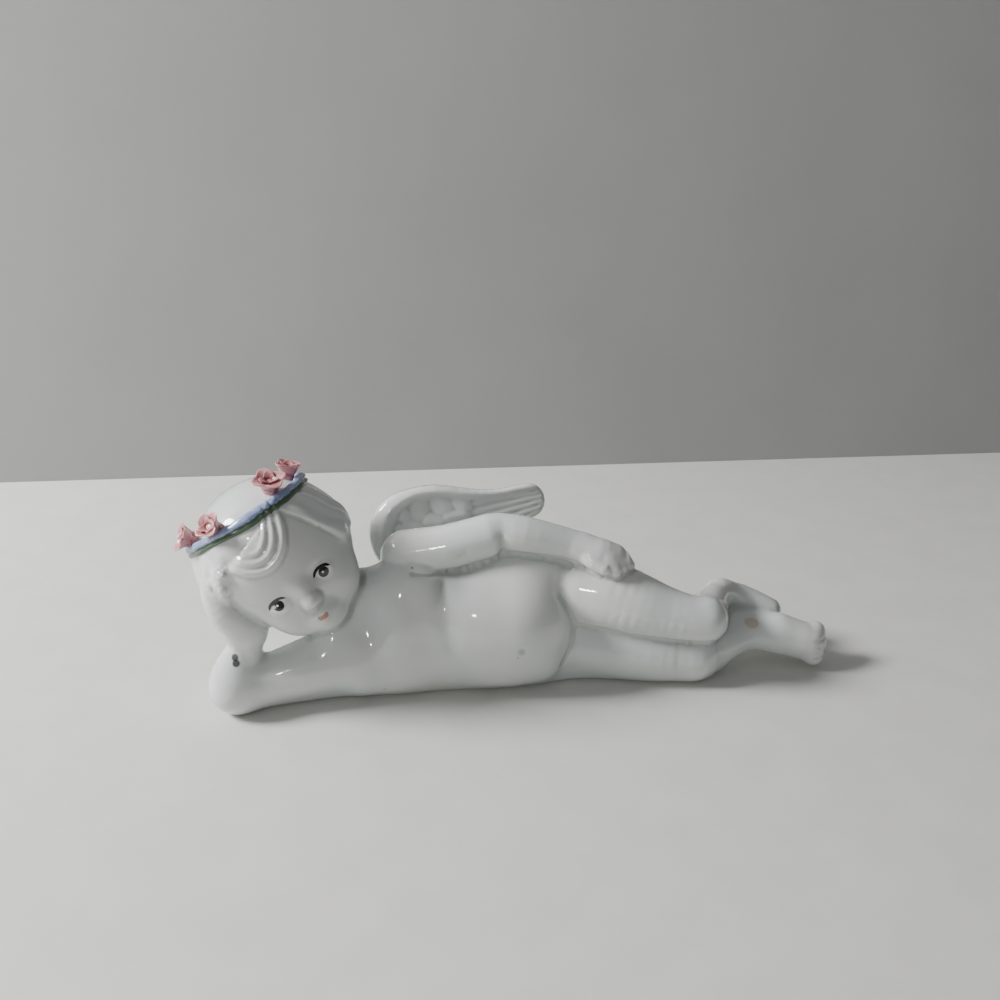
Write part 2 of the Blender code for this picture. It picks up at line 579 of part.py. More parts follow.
def vertices_of(mesh):
    """Vertex places of a mesh as rows of an array."""
    flat = np.empty(len(mesh.vertices) * 3)
    mesh.vertices.foreach_get("co", flat)
    return flat.reshape(-1, 3)


def draw_mesh(mesh, field, steps):
    """Draw every vertex of a mesh onto the zero level of a field."""
    mesh.vertices.foreach_set("co", drawn_onto(field, vertices_of(mesh), 0.0, steps).ravel())
    mesh.update()


def skin(name, field, low, high, voxel, triangles):
    """Mesh of a field: remeshed blocks drawn onto it, thinned and drawn on again."""
    places, faces = blocks(field, low, high, voxel)
    mesh = bpy.data.meshes.new(name)
    mesh.from_pydata(places.tolist(), [], faces.tolist())
    piece = bpy.data.objects.new(name, mesh)
    bpy.context.scene.collection.objects.link(piece)
    remesh = piece.modifiers.new("Even skin", "REMESH")
    remesh.mode = "VOXEL"
    remesh.voxel_size = voxel
    applied(piece)
    draw_mesh(piece.data, field, 5)
    thin = piece.modifiers.new("Thinning", "DECIMATE")
    thin.ratio = triangles / (2.0 * len(piece.data.polygons))
    applied(piece)
    draw_mesh(piece.data, field, 2)
    return piece


def cut_level(piece):
    """Cut the casting flat where it lies on the table, and close the cut."""
    model = bmesh.new()
    model.from_mesh(piece.data)
    everything = model.verts[:] + model.edges[:] + model.faces[:]
    bmesh.ops.bisect_plane(model, geom=everything, dist=0.02, plane_co=(0.0, 0.0, 0.0),
                           plane_no=(0.0, 0.0, -1.0), clear_outer=True)
    rim = [edge for edge in model.edges if edge.is_boundary]
    for vertex in {vertex for edge in rim for vertex in edge.verts}:
        vertex.co.z = 0.0
    bmesh.ops.holes_fill(model, edges=rim, sides=0)
    bmesh.ops.triangulate(model, faces=model.faces[:])
    model.to_mesh(piece.data)
    model.free()


def ring_mesh(name, rings):
    """Closed strip whose corners run round the head."""
    count, corners = rings.shape[:2]
    model = bmesh.new()
    vertices = [[model.verts.new(corner) for corner in ring] for ring in rings]
    for section in range(count):
        here, there = vertices[section], vertices[(section + 1) % count]
        for corner in range(corners):
            after = (corner + 1) % corners
            model.faces.new((here[corner], here[after], there[after], there[corner]))
    bmesh.ops.recalc_face_normals(model, faces=model.faces[:])
    mesh = bpy.data.meshes.new(name)
    model.to_mesh(mesh)
    model.free()
    piece = bpy.data.objects.new(name, mesh)
    bpy.context.scene.collection.objects.link(piece)
    return piece


def glaze(piece, finish):
    """Give a piece its glaze and smooth shading."""
    name, colour, roughness = finish
    material = bpy.data.materials.get(name) or bpy.data.materials.new(name)
    material.use_nodes = True
    surface = material.node_tree.nodes["Principled BSDF"]
    surface.inputs["Base Color"].default_value = colour
    surface.inputs["Roughness"].default_value = roughness
    surface.inputs["Metallic"].default_value = 0.0
    piece.data.materials.clear()
    piece.data.materials.append(material)
    piece.data.shade_smooth()


def make_roses(rings):
    """The four roses, each pressed on beside the strip."""
    roses = []
    for number, (bearing, share) in enumerate(ROSES, start=1):
        bearing = math.radians(bearing)
        lift = share * ROSE_DIAMETER / SHARE
        place = band_seat(np.array((bearing,)), lift)[0]
        axes = rose_axes(place)
        reach = 0.75 * ROSE_DIAMETER / SHARE

        def field(points, place=place, axes=axes, first=bearing + number):
            return rose(points, place, axes, first, rings)

        name = f"rose_{number}"
        roses.append(skin(name, field, place - reach, place + reach, ROSE_VOXEL, ROSE_TRIANGLES))
    return roses


def stand_in_metres(pieces):
    """Bring the pieces from shares to metres, over the middle of their footprint."""
    corners = np.concatenate([vertices_of(piece.data) for piece in pieces])
    middle = 0.5 * (corners.min(axis=0) + corners.max(axis=0))
    middle[2] = corners[:, 2].min()
    for piece in pieces:
        piece.data.transform(Matrix.Translation(Vector(-middle)))
        piece.data.transform(Matrix.Scale(SHARE, 4))


def main():
    """Make the casting, its garland and its roses."""
    for leftover in list(bpy.data.objects):
        bpy.data.objects.remove(leftover, do_unlink=True)
    body = skin("cherub_figure", figure, FIGURE_LOW, FIGURE_HIGH, SKIN_VOXEL, FIGURE_TRIANGLES)
    cut_level(body)
    rings = band_rings()
    band = ring_mesh("garland_band", rings)
    roses = make_roses(rings)
    glaze(body, CLEAR_GLAZE)
    glaze(band, BLUE_GLAZE)
    for piece in roses:
        glaze(piece, ROSE_GLAZE)
    stand_in_metres([body, band, *roses])


main()
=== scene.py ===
"""Reclining cherub in white glazed porcelain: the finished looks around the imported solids.

The casting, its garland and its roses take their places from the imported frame. The form of
the casting is worked out again here at a finer step, in shares of the figure's length, so
that the hair, the face, the feathers, the fingers and the toes are real relief. A share is
one millimetre on this piece.
"""
import logging
import math
from dataclasses import dataclass
from enum import Enum
from typing import Callable

import bmesh
import bpy
import numpy as np
from mathutils import Matrix, Vector


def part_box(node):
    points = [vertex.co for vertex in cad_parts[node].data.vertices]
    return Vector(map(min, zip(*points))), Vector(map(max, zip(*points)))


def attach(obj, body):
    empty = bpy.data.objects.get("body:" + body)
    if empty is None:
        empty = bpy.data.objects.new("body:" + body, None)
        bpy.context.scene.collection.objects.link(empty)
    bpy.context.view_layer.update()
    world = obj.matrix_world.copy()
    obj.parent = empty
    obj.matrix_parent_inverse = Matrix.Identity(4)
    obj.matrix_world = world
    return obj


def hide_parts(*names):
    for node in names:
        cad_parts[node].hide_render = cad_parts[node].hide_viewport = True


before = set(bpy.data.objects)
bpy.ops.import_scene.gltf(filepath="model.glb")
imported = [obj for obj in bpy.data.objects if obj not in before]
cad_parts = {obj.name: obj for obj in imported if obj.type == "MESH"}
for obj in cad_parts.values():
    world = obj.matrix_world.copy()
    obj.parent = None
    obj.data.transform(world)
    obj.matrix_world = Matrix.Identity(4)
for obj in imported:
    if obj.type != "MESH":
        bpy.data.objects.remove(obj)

Points = np.ndarray
Values = np.ndarray
Field = Callable[[Points], Values]
Station = tuple[float, ...]
Colour = tuple[float, float, float, float]

LOG = logging.getLogger("cherub")
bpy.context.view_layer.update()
SHARE = 0.001
BODY = "root"
NEAR_MARGIN = 7.0
FOLD_FRONT = 4.0
TABLE_EDGE = 0.8
WING_FILLET = 2.5
HEAD_FILLET = 1.6


class Slot(Enum):
    """Material slots of the record."""

    WHITE = "white_glaze"
    RIBBON = "ribbon_glaze"
    ROSE = "rose_glaze"


def blend(first: Values, second: Values, width: float) -> Values:
    """Join two distance fields with a fillet.

    Args:
        first: Distances to one form.
        second: Distances to the other form.
        width: Width of the fillet.

    Returns:
        Distances to both forms together.
    """
    share = np.clip(0.5 + 0.5 * (second - first) / width, 0.0, 1.0)
    return second + (first - second) * share - width * share * (1.0 - share)


def carve(field: Values, cutter: Values, width: float) -> Values:
    """Cut one distance field out of another, with edges softened over a width."""
    return -blend(-field, cutter, width)


def ramp(value: Values, start: float, end: float) -> Values:
    """Rise smoothly from 0 at the start to 1 at the end."""
    share = np.clip((value - start) / (end - start), 0.0, 1.0)
    return share * share * (3.0 - 2.0 * share)


def ridge(value: Values, spacing: float) -> Values:
    """Rounded ridges from 0 in the grooves to 1 on the crests, one to each spacing."""
    return 0.5 - 0.5 * np.cos(2.0 * math.pi * value / spacing)


def ellipsoid(points: Points, centre: Station, radii: Station) -> Values:
    """Distance to an ellipsoid that lies square to the axes of the points.

    Args:
        points: Places, one to a row.
        centre: Middle of the ellipsoid.
        radii: Its three radii.

    Returns:
        Distances, negative inside.
    """
    sizes = np.asarray(radii, dtype=float)
    offset = points - np.asarray(centre, dtype=float)
    inner = np.linalg.norm(offset / sizes, axis=1)
    outer = np.linalg.norm(offset / sizes**2, axis=1) + 1e-9
    return inner * (inner - 1.0) / outer


def limb(points: Points, start: Station, end: Station) -> Values:
    """Distance to one tapered length between two stations of a place and a radius.

    Args:
        points: Places, one to a row.
        start: Place and radius of one end.
        end: Place and radius of the other end.

    Returns:
        Distances, negative inside.
    """
    first, last = np.asarray(start, dtype=float), np.asarray(end, dtype=float)
    axis = last[:-1] - first[:-1]
    along = np.clip((points - first[:-1]) @ axis / (axis @ axis), 0.0, 1.0)
    nearest = first[:-1] + along[:, None] * axis
    radius = first[-1] + along * (last[-1] - first[-1])
    return np.linalg.norm(points - nearest, axis=1) - radius


def eased(stations: tuple[Station, ...], steps: int) -> Points:
    """Stations of a smooth curve through given ones, a number of steps to each length."""
    rows = np.asarray(stations, dtype=float)
    padded = np.concatenate((2.0 * rows[:1] - rows[1:2], rows, 2.0 * rows[-1:] - rows[-2:-1]))
    t = np.arange(steps)[:, None] / steps
    runs = []
    for before, start, end, after in zip(padded, padded[1:], padded[2:], padded[3:]):
        square = 2.0 * before - 5.0 * start + 4.0 * end - after
        cube = 3.0 * start - before - 3.0 * end + after
        runs.append(start + 0.5 * ((end - before) * t + square * t**2 + cube * t**3))
    return np.concatenate(runs + [rows[-1:]])


def chain(points: Points, stations: tuple[Station, ...]) -> Values:
    """Distance to a limb that runs smoothly through several stations.

    Args:
        points: Places, one to a row.
        stations: Places with radii, in order.

    Returns:
        Distances, negative inside.
    """
    course = eased(stations, 3)
    field = limb(points, course[0], course[1])
    for start, end in zip(course[1:], course[2:]):
        field = np.minimum(field, limb(points, start, end))
    return field


def crease(points: Points, course: tuple[Station, ...], depth: float) -> Values:
    """Depth of a fold that is pressed into the front along a course.

    Args:
        points: Places, one to a row.
        course: Stations of x, z and half width, as seen from the front.
        depth: Depth of the fold in its middle.

    Returns:
        What to add to the distance field.
    """
    flat = points[:, (0, 2)]
    away = np.full(len(flat), 99.0)
    for start, end in zip(course, course[1:]):
        first, last = np.asarray(start), np.asarray(end)
        axis = last[:2] - first[:2]
        along = np.clip((flat - first[:2]) @ axis / (axis @ axis), 0.0, 1.0)
        reach = np.linalg.norm(flat - first[:2] - along[:, None] * axis, axis=1)
        away = np.minimum(away, reach / (first[2] + along * (last[2] - first[2])))
    return depth * np.exp(-away * away) * (1.0 - ramp(points[:, 1], 0.0, FOLD_FRONT))


@dataclass(frozen=True)
class Mass:
    """Rounded mass of clay, and the fillet that joins it to the masses before it."""

    centre: Station
    radii: Station
    fillet: float = 0.0

    def joined(self, points: Points, field: Values) -> Values:
        """Add this mass to a distance field."""
        return blend(field, ellipsoid(points, self.centre, self.radii), self.fillet)


def massed(points: Points, masses: tuple[Mass, ...]) -> Values:
    """Distance to several masses that are joined in order."""
    field = ellipsoid(points, masses[0].centre, masses[0].radii)
    for mass in masses[1:]:
        field = mass.joined(points, field)
    return field


@dataclass(frozen=True)
class Fold:
    """Fold pressed into the front: its course of x, z and half width, and its depth."""

    course: tuple[Station, ...]
    depth: float


def plane_axes(along: Station, up: Station) -> np.ndarray:
    """Columns along, up and normal of a flat form, made square to each other."""
    first = np.asarray(along, dtype=float)
    first = first / np.linalg.norm(first)
    second = np.asarray(up, dtype=float)
    second = second - first * (second @ first)
    second = second / np.linalg.norm(second)
    return np.stack((first, second, np.cross(first, second)), 1)


def near_only(points: Points, centre: Station, reach: float, form: Field) -> Values:
    """Work a form out near its place, and take the distance to its ball elsewhere.

    Args:
        points: Places, one to a row.
        centre: Middle of a ball that holds the form.
        reach: Radius of that ball.
        form: The form's own distance field.

    Returns:
        Distances that are true near the form.
    """
    field = np.linalg.norm(points - np.asarray(centre), axis=1) - reach
    close = field < NEAR_MARGIN
    field[close] = form(points[close])
    return field


def gradient(field: Field, points: Points, step: float) -> tuple[Values, Points]:
    """A distance field at each point, and the direction that leads outwards there."""
    here = field(points)
    slope = np.stack([field(points + axis) - here for axis in np.eye(3) * step], 1)
    return here, slope / (np.linalg.norm(slope, axis=1, keepdims=True) + 1e-12)


def drawn_onto(field: Field, points: Points, level: float, steps: int) -> Points:
    """Move points along a field until they lie at a level of it.

    Args:
        field: The distance field.
        points: Places to move.
        level: Distance at which they come to lie.
        steps: Number of moves.

    Returns:
        The new places.
    """
    for _ in range(steps):
        here, outward = gradient(field, points, 0.05)
        points = points - np.clip(here - level, -1.0, 1.0)[:, None] * outward
    return points


@dataclass
class HeadForm:
    """Head with its face and hair, in the head's right, face and up directions.

    The masses of the skull are, in order: cranium, outer temple, jaw, the two cheeks and the
    chin. Those of the face are the nose's bridge and tip, the muzzle and the two lips.
    """

    centre: Station = (-84.3, 0.0, 46.7)
    lean: float = 37.5
    turn: float = 21.0
    nod: float = 1.5
    hair_thickness: float = 0.9
    lock_spacing: float = 2.9
    lock_height: float = 0.6
    curl_centre: tuple[float, float] = (-2.0, 14.6)
    curl_radius: float = 10.2
    curl_tail: float = 3.0
    temple_curls: tuple[Station, ...] = ((-14.2, 16.6, 12.0), (-16.9, 15.9, 8.4),
                                         (-18.8, 12.6, 10.8), (-19.8, 11.8, 6.4),
                                         (-21.2, 8.2, 9.0), (-21.0, 8.8, 2.8))
    band_axis: tuple[float, float] = (0.5, -2.0)
    parting: float = -0.06
    hairline_height: float = 14.5
    palm_plane: Station = (-0.93, -0.37, 19.4)
    palm_fillet: float = 4.0
    temple_height: float = 2.0
    skull_masses: tuple[Mass, ...] = (Mass((0.5, -2.0, 3.0), (24.0, 25.2, 22.5)),
                                      Mass((10.0, 3.0, -2.5), (14.6, 15.0, 13.0), 5.0),
                                      Mass((0.2, 5.0, -8.5), (17.0, 17.0, 16.2), 7.0),
                                      Mass((8.2, 10.6, -13.4), (9.3, 9.6, 9.4), 4.0),
                                      Mass((-7.6, 10.6, -12.8), (8.6, 9.4, 9.0), 4.0),
                                      Mass((0.2, 13.6, -19.6), (6.4, 7.4, 6.0), 4.5))
    face_masses: tuple[Mass, ...] = (Mass((-0.3, 21.4, -6.8), (1.8, 3.0, 4.2), 3.5),
                                     Mass((-0.8, 23.2, -10.6), (2.5, 3.0, 2.3), 1.8),
                                     Mass((-1.0, 17.6, -17.6), (4.8, 5.0, 4.2), 3.0),
                                     Mass((-1.4, 21.2, -16.2), (2.8, 1.9, 0.9), 0.8),
                                     Mass((-1.3, 20.8, -18.8), (2.2, 1.9, 1.1), 0.8))
    eye_apart: float = 8.0
    nostril_apart: float = 2.1

    def turning(self) -> np.ndarray:
        """Pure rotation of the head, before its face direction is mirrored."""
        lean, turn, nod = (math.radians(a) for a in (self.lean, self.turn, self.nod))
        about_y = np.array(((math.cos(lean), 0.0, -math.sin(lean)),
                            (0.0, 1.0, 0.0),
                            (math.sin(lean), 0.0, math.cos(lean))))
        about_z = np.array(((math.cos(turn), -math.sin(turn), 0.0),
                            (math.sin(turn), math.cos(turn), 0.0),
                            (0.0, 0.0, 1.0)))
        about_x = np.array(((1.0, 0.0, 0.0),
                            (0.0, math.cos(nod), -math.sin(nod)),
                            (0.0, math.sin(nod), math.cos(nod))))
        return about_y @ about_z @ about_x

    def axes(self) -> np.ndarray:
        """Columns right, face and up."""
        return self.turning() @ np.diag((1.0, -1.0, 1.0))

    def to_head(self, points: Points) -> Points:
        """Places in the head's own directions."""
        return (points - np.asarray(self.centre)) @ self.axes()

    def from_head(self, local: Points) -> Points:
        """Places in the figure's directions."""
        return np.asarray(self.centre) + local @ self.axes().T

    def skull(self, local: Points) -> Values:
        """Distance to the head without relief."""
        field = massed(local, self.skull_masses)
        right, up, reach = self.palm_plane
        pressed = right * local[:, 0] + up * local[:, 2] - reach
        return -blend(-field, -pressed, self.palm_fillet)

    def face(self, local: Points, field: Values) -> Values:
        """Give the skull a calm child's face: sockets, lids, nose and closed lips."""
        for side in (-1.0, 1.0):
            aside = self.eye_apart * side
            socket = ellipsoid(local, (aside, 25.8, -6.4), (4.8, 3.4, 3.0))
            field = carve(field, socket, 3.0)
            field = Mass((aside, 18.1, -6.7), (3.8, 4.1, 2.8), 1.2).joined(local, field)
            aside = self.nostril_apart * side - 0.6
            field = Mass((aside, 22.2, -11.7), (1.3, 1.8, 1.2), 1.0).joined(local, field)
        for mass in self.face_masses:
            field = mass.joined(local, field)
        return field

    def forelock(self, right: Values, front: Values, up: Values) -> tuple[Values, Values]:
        """Strands and extent of the curl that sweeps from the garland over the forehead.

        Args:
            right: Places towards the head's right.
            front: Places towards the face.
            up: Places towards the crown.

        Returns:
            Height of the strands and extent of the curl, both from 0 to 1.
        """
        offset = right - self.curl_centre[0]
        drop = self.curl_centre[1] - up
        reach = np.hypot(offset, drop)
        swing = np.arctan2(drop, offset)
        tail = self.curl_tail * np.exp(-np.clip(swing, -0.6, None) / 0.5)
        inside = self.curl_radius + tail - reach
        strands = ridge(inside, self.lock_spacing) * ramp(reach, 1.5, 3.5)
        strands = strands * (1.0 - ramp(inside, 8.0, 11.0))
        extent = ramp(inside, -0.4, 0.5) * ramp(swing, -0.5, -0.1) * (1.0 - ramp(swing, 2.7, 3.1))
        return strands, extent * ramp(front, 12.0, 16.0)

    def hair(self, local: Points) -> Values:
        """Height of the hair over the skull: a cap, side locks and a curled forelock."""
        right, front, up = local[:, 0], local[:, 1] - self.band_axis[1], local[:, 2]
        bearing = np.arctan2(right, front)
        aside = np.abs(bearing - self.parting)
        left_drop = 14.0 * ramp(aside, 0.40, 0.95) + 16.0 * ramp(aside, 1.3, 1.9)
        right_drop = 21.5 * ramp(aside, 0.54, 0.94) + 8.0 * ramp(aside, 1.2, 3.0)
        hairline = self.hairline_height - np.where(bearing < self.parting, left_drop, right_drop)
        cap = self.hair_thickness * ramp(up - hairline, -2.2, 2.6)
        for curl in self.temple_curls:
            away = np.linalg.norm(local - np.asarray(curl), axis=1)
            lump = np.exp(-(away / 2.2) ** 2) * (0.65 + 0.35 * ridge(away, 1.7))
            cap = cap + self.temple_height * lump
        flow = 20.0 * aside + 0.29 * up + 0.8 * np.sin(0.4 * up)
        locks = ridge(flow - 14.2, 1.9 * self.lock_spacing)
        sides = ramp(flow, 14.0, 15.5) * (1.0 - ramp(flow, 26.0, 32.0))
        sides = sides * (1.0 - ramp(up, 13.0, 17.0))
        strands, disc = self.forelock(right, front, up)
        cap = np.maximum(cap, self.hair_thickness * disc)
        relief = ramp(cap, 0.3, 0.8) * (1.0 - disc) * sides * locks + disc * strands
        return cap + self.lock_height * relief

    def field(self, points: Points) -> Values:
        """Distance to the head, in the figure's directions."""
        local = self.to_head(points)
        return self.face(local, self.skull(local)) - self.hair(local)


HEAD = HeadForm()


@dataclass
class BodyForm:
    """Trunk and limbs of the figure.

    The masses are, in order: chest, midriff, belly, flank and hips. The folds are, in order:
    under the belly, between the legs, under the upper arm, in the elbow, under the forearm,
    down the chest and the dimple of the arm, and then the lines between the fingers.
    """

    underside: tuple[Station, ...] = ((-97.0, -12.0, 4.0, 5.2), (-60.0, -5.0, 4.0, 7.0),
                                      (-10.0, -1.0, 5.0, 10.0), (20.0, 0.0, 5.0, 9.0),
                                      (52.0, -7.0, 4.0, 6.0), (62.0, -5.0, 4.0, 4.6))
    flank: tuple[Station, ...] = ((-58.0, -8.0, 9.4, 9.0), (-46.0, -7.2, 9.4, 9.4),
                                  (-36.0, -5.4, 9.6, 9.4), (-26.0, -5.6, 10.0, 9.4),
                                  (-12.0, -6.8, 10.5, 10.0), (0.0, -6.0, 9.8, 9.0))
    navel: Station = (-6.6, -21.2, 19.8)
    navel_radii: Station = (1.2, 2.4, 1.0)
    masses: tuple[Mass, ...] = (Mass((-42.0, 0.0, 22.5), (19.0, 15.0, 23.5)),
                                Mass((-20.0, -3.2, 21.0), (17.0, 15.8, 18.6), 7.0),
                                Mass((-7.6, -3.5, 21.5), (20.6, 16.8, 18.6), 4.0),
                                Mass((-6.0, 4.0, 32.0), (22.0, 12.0, 14.0), 6.0),
                                Mass((12.0, 6.0, 19.5), (17.0, 14.0, 18.0), 3.0))
    pressed: tuple[Fold, ...] = (Fold(((5.2, 35.5, 0.5), (7.7, 31.5, 0.9), (9.9, 27.5, 1.1),
                                       (12.0, 22.4, 1.2), (11.2, 17.0, 1.1), (7.5, 9.0, 0.7)), 0.9),
                                 Fold(((12.3, 22.4, 0.9), (24.0, 21.0, 1.0), (34.1, 19.2, 1.0),
                                       (43.3, 17.6, 1.0), (51.0, 16.8, 1.0), (56.5, 17.8, 0.8)), 0.5),
                                 Fold(((-41.0, 42.6, 0.6), (-35.0, 41.2, 0.9), (-26.4, 40.8, 1.0),
                                       (-16.0, 43.2, 1.0), (-11.6, 46.0, 0.9)), 0.8),
                                 Fold(((-11.4, 46.5, 1.2), (-11.6, 50.0, 1.3), (-12.0, 53.0, 0.8)), 1.0),
                                 Fold(((-9.0, 47.0, 0.8), (2.2, 45.6, 0.9), (12.7, 43.6, 0.8),
                                       (18.6, 40.6, 0.6)), 0.4),
                                 Fold(((-31.6, 38.0, 2.2), (-31.0, 30.0, 3.0), (-30.0, 20.0, 2.2)), 0.8),
                                 Fold(((-25.6, 47.6, 0.6), (-23.4, 48.6, 0.8)), 0.4),
                                 Fold(((22.6, 43.6, 0.3), (23.7, 40.2, 0.5)), 0.5),
                                 Fold(((26.4, 44.0, 0.3), (27.7, 40.2, 0.4)), 0.5),
                                 Fold(((28.5, 44.0, 0.3), (29.9, 40.4, 0.4)), 0.5))
    finger_count: int = 4
    toe_count: int = 5
    toe_step: float = 2.1
    toe_depth: float = 0.4

    def torso(self, points: Points) -> Values:
        """Distance to chest, belly, hips, neck and the flank that lies on the table."""
        field = massed(points, self.masses)
        neck = limb(points, (-54.0, 2.5, 27.0, 9.0), (-68.0, 2.0, 35.0, 8.0))
        shoulder = limb(points, (-50.0, -3.0, 22.0, 13.0), (-66.0, -6.0, 20.5, 8.6))
        field = blend(field, neck, 8.0)
        field = blend(field, chain(points, self.flank), 6.0)
        field = blend(field, shoulder, 6.0)
        field = blend(field, chain(points, self.underside), 3.0)
        below_chin = ellipsoid(points, (-56.5, -19.0, 35.0), (8.0, 9.0, 14.0))
        field = carve(field, below_chin, 5.0)
        return carve(field, ellipsoid(points, self.navel, self.navel_radii), 1.0)

    def folds(self, points: Points) -> Values:
        """Depth of the folds of belly, legs, arm, fingers and toes over the whole figure."""
        depth = np.zeros(len(points))
        for fold in self.pressed:
            depth = depth + crease(points, fold.course, fold.depth)
        for toe in range(1, self.toe_count):
            height = 3.2 + self.toe_step * toe
            course = ((95.5, height, 0.3), (103.0, height + 0.3, 0.4))
            depth = depth + crease(points, course, self.toe_depth)
        return depth

    def right_arm(self, points: Points) -> Values:
        """Distance to the arm that props the head, its palm along the skull's side."""
        upper = ((-60.0, -7.0, 12.5, 10.4), (-70.0, -8.4, 12.6, 10.2), (-80.0, -10.8, 11.2, 9.0),
                 (-88.0, -12.5, 9.8, 8.2), (-97.5, -14.4, 8.8, 8.8))
        lower = ((-98.0, -14.4, 9.2, 8.8), (-97.6, -14.0, 13.5, 7.7), (-96.0, -13.4, 18.0, 6.4),
                 (-94.0, -13.2, 24.0, 5.4), (-93.4, -13.8, 29.0, 6.3))
        palm = ((-93.4, -13.8, 29.0, 6.3), (-95.0, -14.8, 32.5, 6.6), (-98.2, -15.8, 37.0, 5.9),
                (-100.6, -15.2, 41.5, 4.8), (-101.8, -13.6, 45.0, 3.8))
        field = blend(chain(points, upper), chain(points, lower), 3.0)
        field = blend(field, chain(points, palm), 3.0)
        local = HEAD.to_head(points)
        for finger in range(self.finger_count):
            knuckle = (-21.6, 6.0 - 4.6 * finger, -9.0 + 0.5 * finger, 2.6)
            tip = (-23.2, 5.0 - 4.8 * finger, 2.0 - 1.2 * finger, 2.1)
            field = blend(field, limb(local, knuckle, tip), 1.0)
        return field

    def left_arm(self, points: Points) -> Values:
        """Distance to the arm along the side, with its hand at rest on the thigh."""
        upper = ((-43.0, 4.0, 44.2, 8.4), (-29.0, 2.2, 47.2, 7.6), (-15.6, 2.2, 50.8, 7.3))
        lower = ((-12.0, 2.6, 51.8, 6.4), (-4.0, 1.0, 51.2, 6.2), (7.6, 0.0, 48.6, 5.5),
                 (15.0, -1.0, 46.8, 5.0))
        palm = ((14.5, -1.4, 46.4, 4.9), (20.0, -2.8, 45.2, 5.4), (25.0, -3.2, 43.6, 5.0))
        field = blend(chain(points, upper), chain(points, lower), 1.2)
        field = blend(field, chain(points, palm), 2.0)
        thumb = limb(points, (16.6, -6.2, 44.4, 2.6), (21.2, -8.6, 42.4, 2.1))
        field = blend(field, thumb, 1.2)
        for finger in range(self.finger_count):
            knuckle = (23.2 + 1.9 * finger, -6.0 + 2.0 * finger, 43.8 - 0.6 * finger, 2.8)
            tip = (25.0 + 1.9 * finger, -8.0 + 2.1 * finger, 41.4 - 0.5 * finger, 2.3)
            field = blend(field, limb(points, knuckle, tip), 1.8)
        return field

    def left_leg(self, points: Points) -> Values:
        """Distance to the upper leg: knee forward, foot tucked behind the other ankle."""
        thigh = ((16.0, 1.0, 30.0, 12.0), (24.0, -1.5, 28.8, 12.3), (33.0, -5.2, 27.0, 10.9),
                 (41.0, -8.0, 25.4, 9.2), (50.0, -10.6, 24.0, 7.8), (55.5, -11.2, 23.4, 7.4))
        calf = ((55.5, -10.4, 23.4, 7.2), (62.0, 2.0, 22.6, 6.0), (68.0, 10.0, 21.8, 4.6))
        foot = ((67.0, 10.0, 22.0, 4.6), (76.0, 12.0, 18.8, 4.6), (86.0, 9.0, 14.8, 4.2))
        field = blend(chain(points, thigh), chain(points, calf), 2.0)
        return blend(field, chain(points, foot), 3.0)

    def right_leg(self, points: Points) -> Values:
        """Distance to the lower leg, on the table, with instep to the front and five toes."""
        thigh = ((14.0, 0.4, 12.6, 12.3), (33.0, -5.2, 10.2, 10.8), (44.0, -7.2, 9.4, 9.9),
                 (53.0, -8.7, 8.8, 8.3))
        shin = ((53.0, -8.7, 8.8, 8.3), (62.0, -6.0, 9.8, 6.6), (74.0, -1.5, 11.4, 5.8),
                (85.0, -1.5, 11.2, 6.6))
        foot = ((85.0, -1.5, 11.2, 6.6), (91.0, -3.2, 9.8, 6.8), (95.0, -4.4, 9.0, 6.2))
        web = ((64.0, 3.0, 12.0, 6.0), (80.0, 5.0, 11.0, 6.0))
        field = blend(chain(points, thigh), chain(points, shin), 3.0)
        field = blend(field, chain(points, foot), 3.0)
        field = blend(field, limb(points, (96.8, -7.0, 4.6, 3.2), (98.8, -2.6, 12.4, 2.9)), 3.0)
        return blend(field, chain(points, web), 4.0)


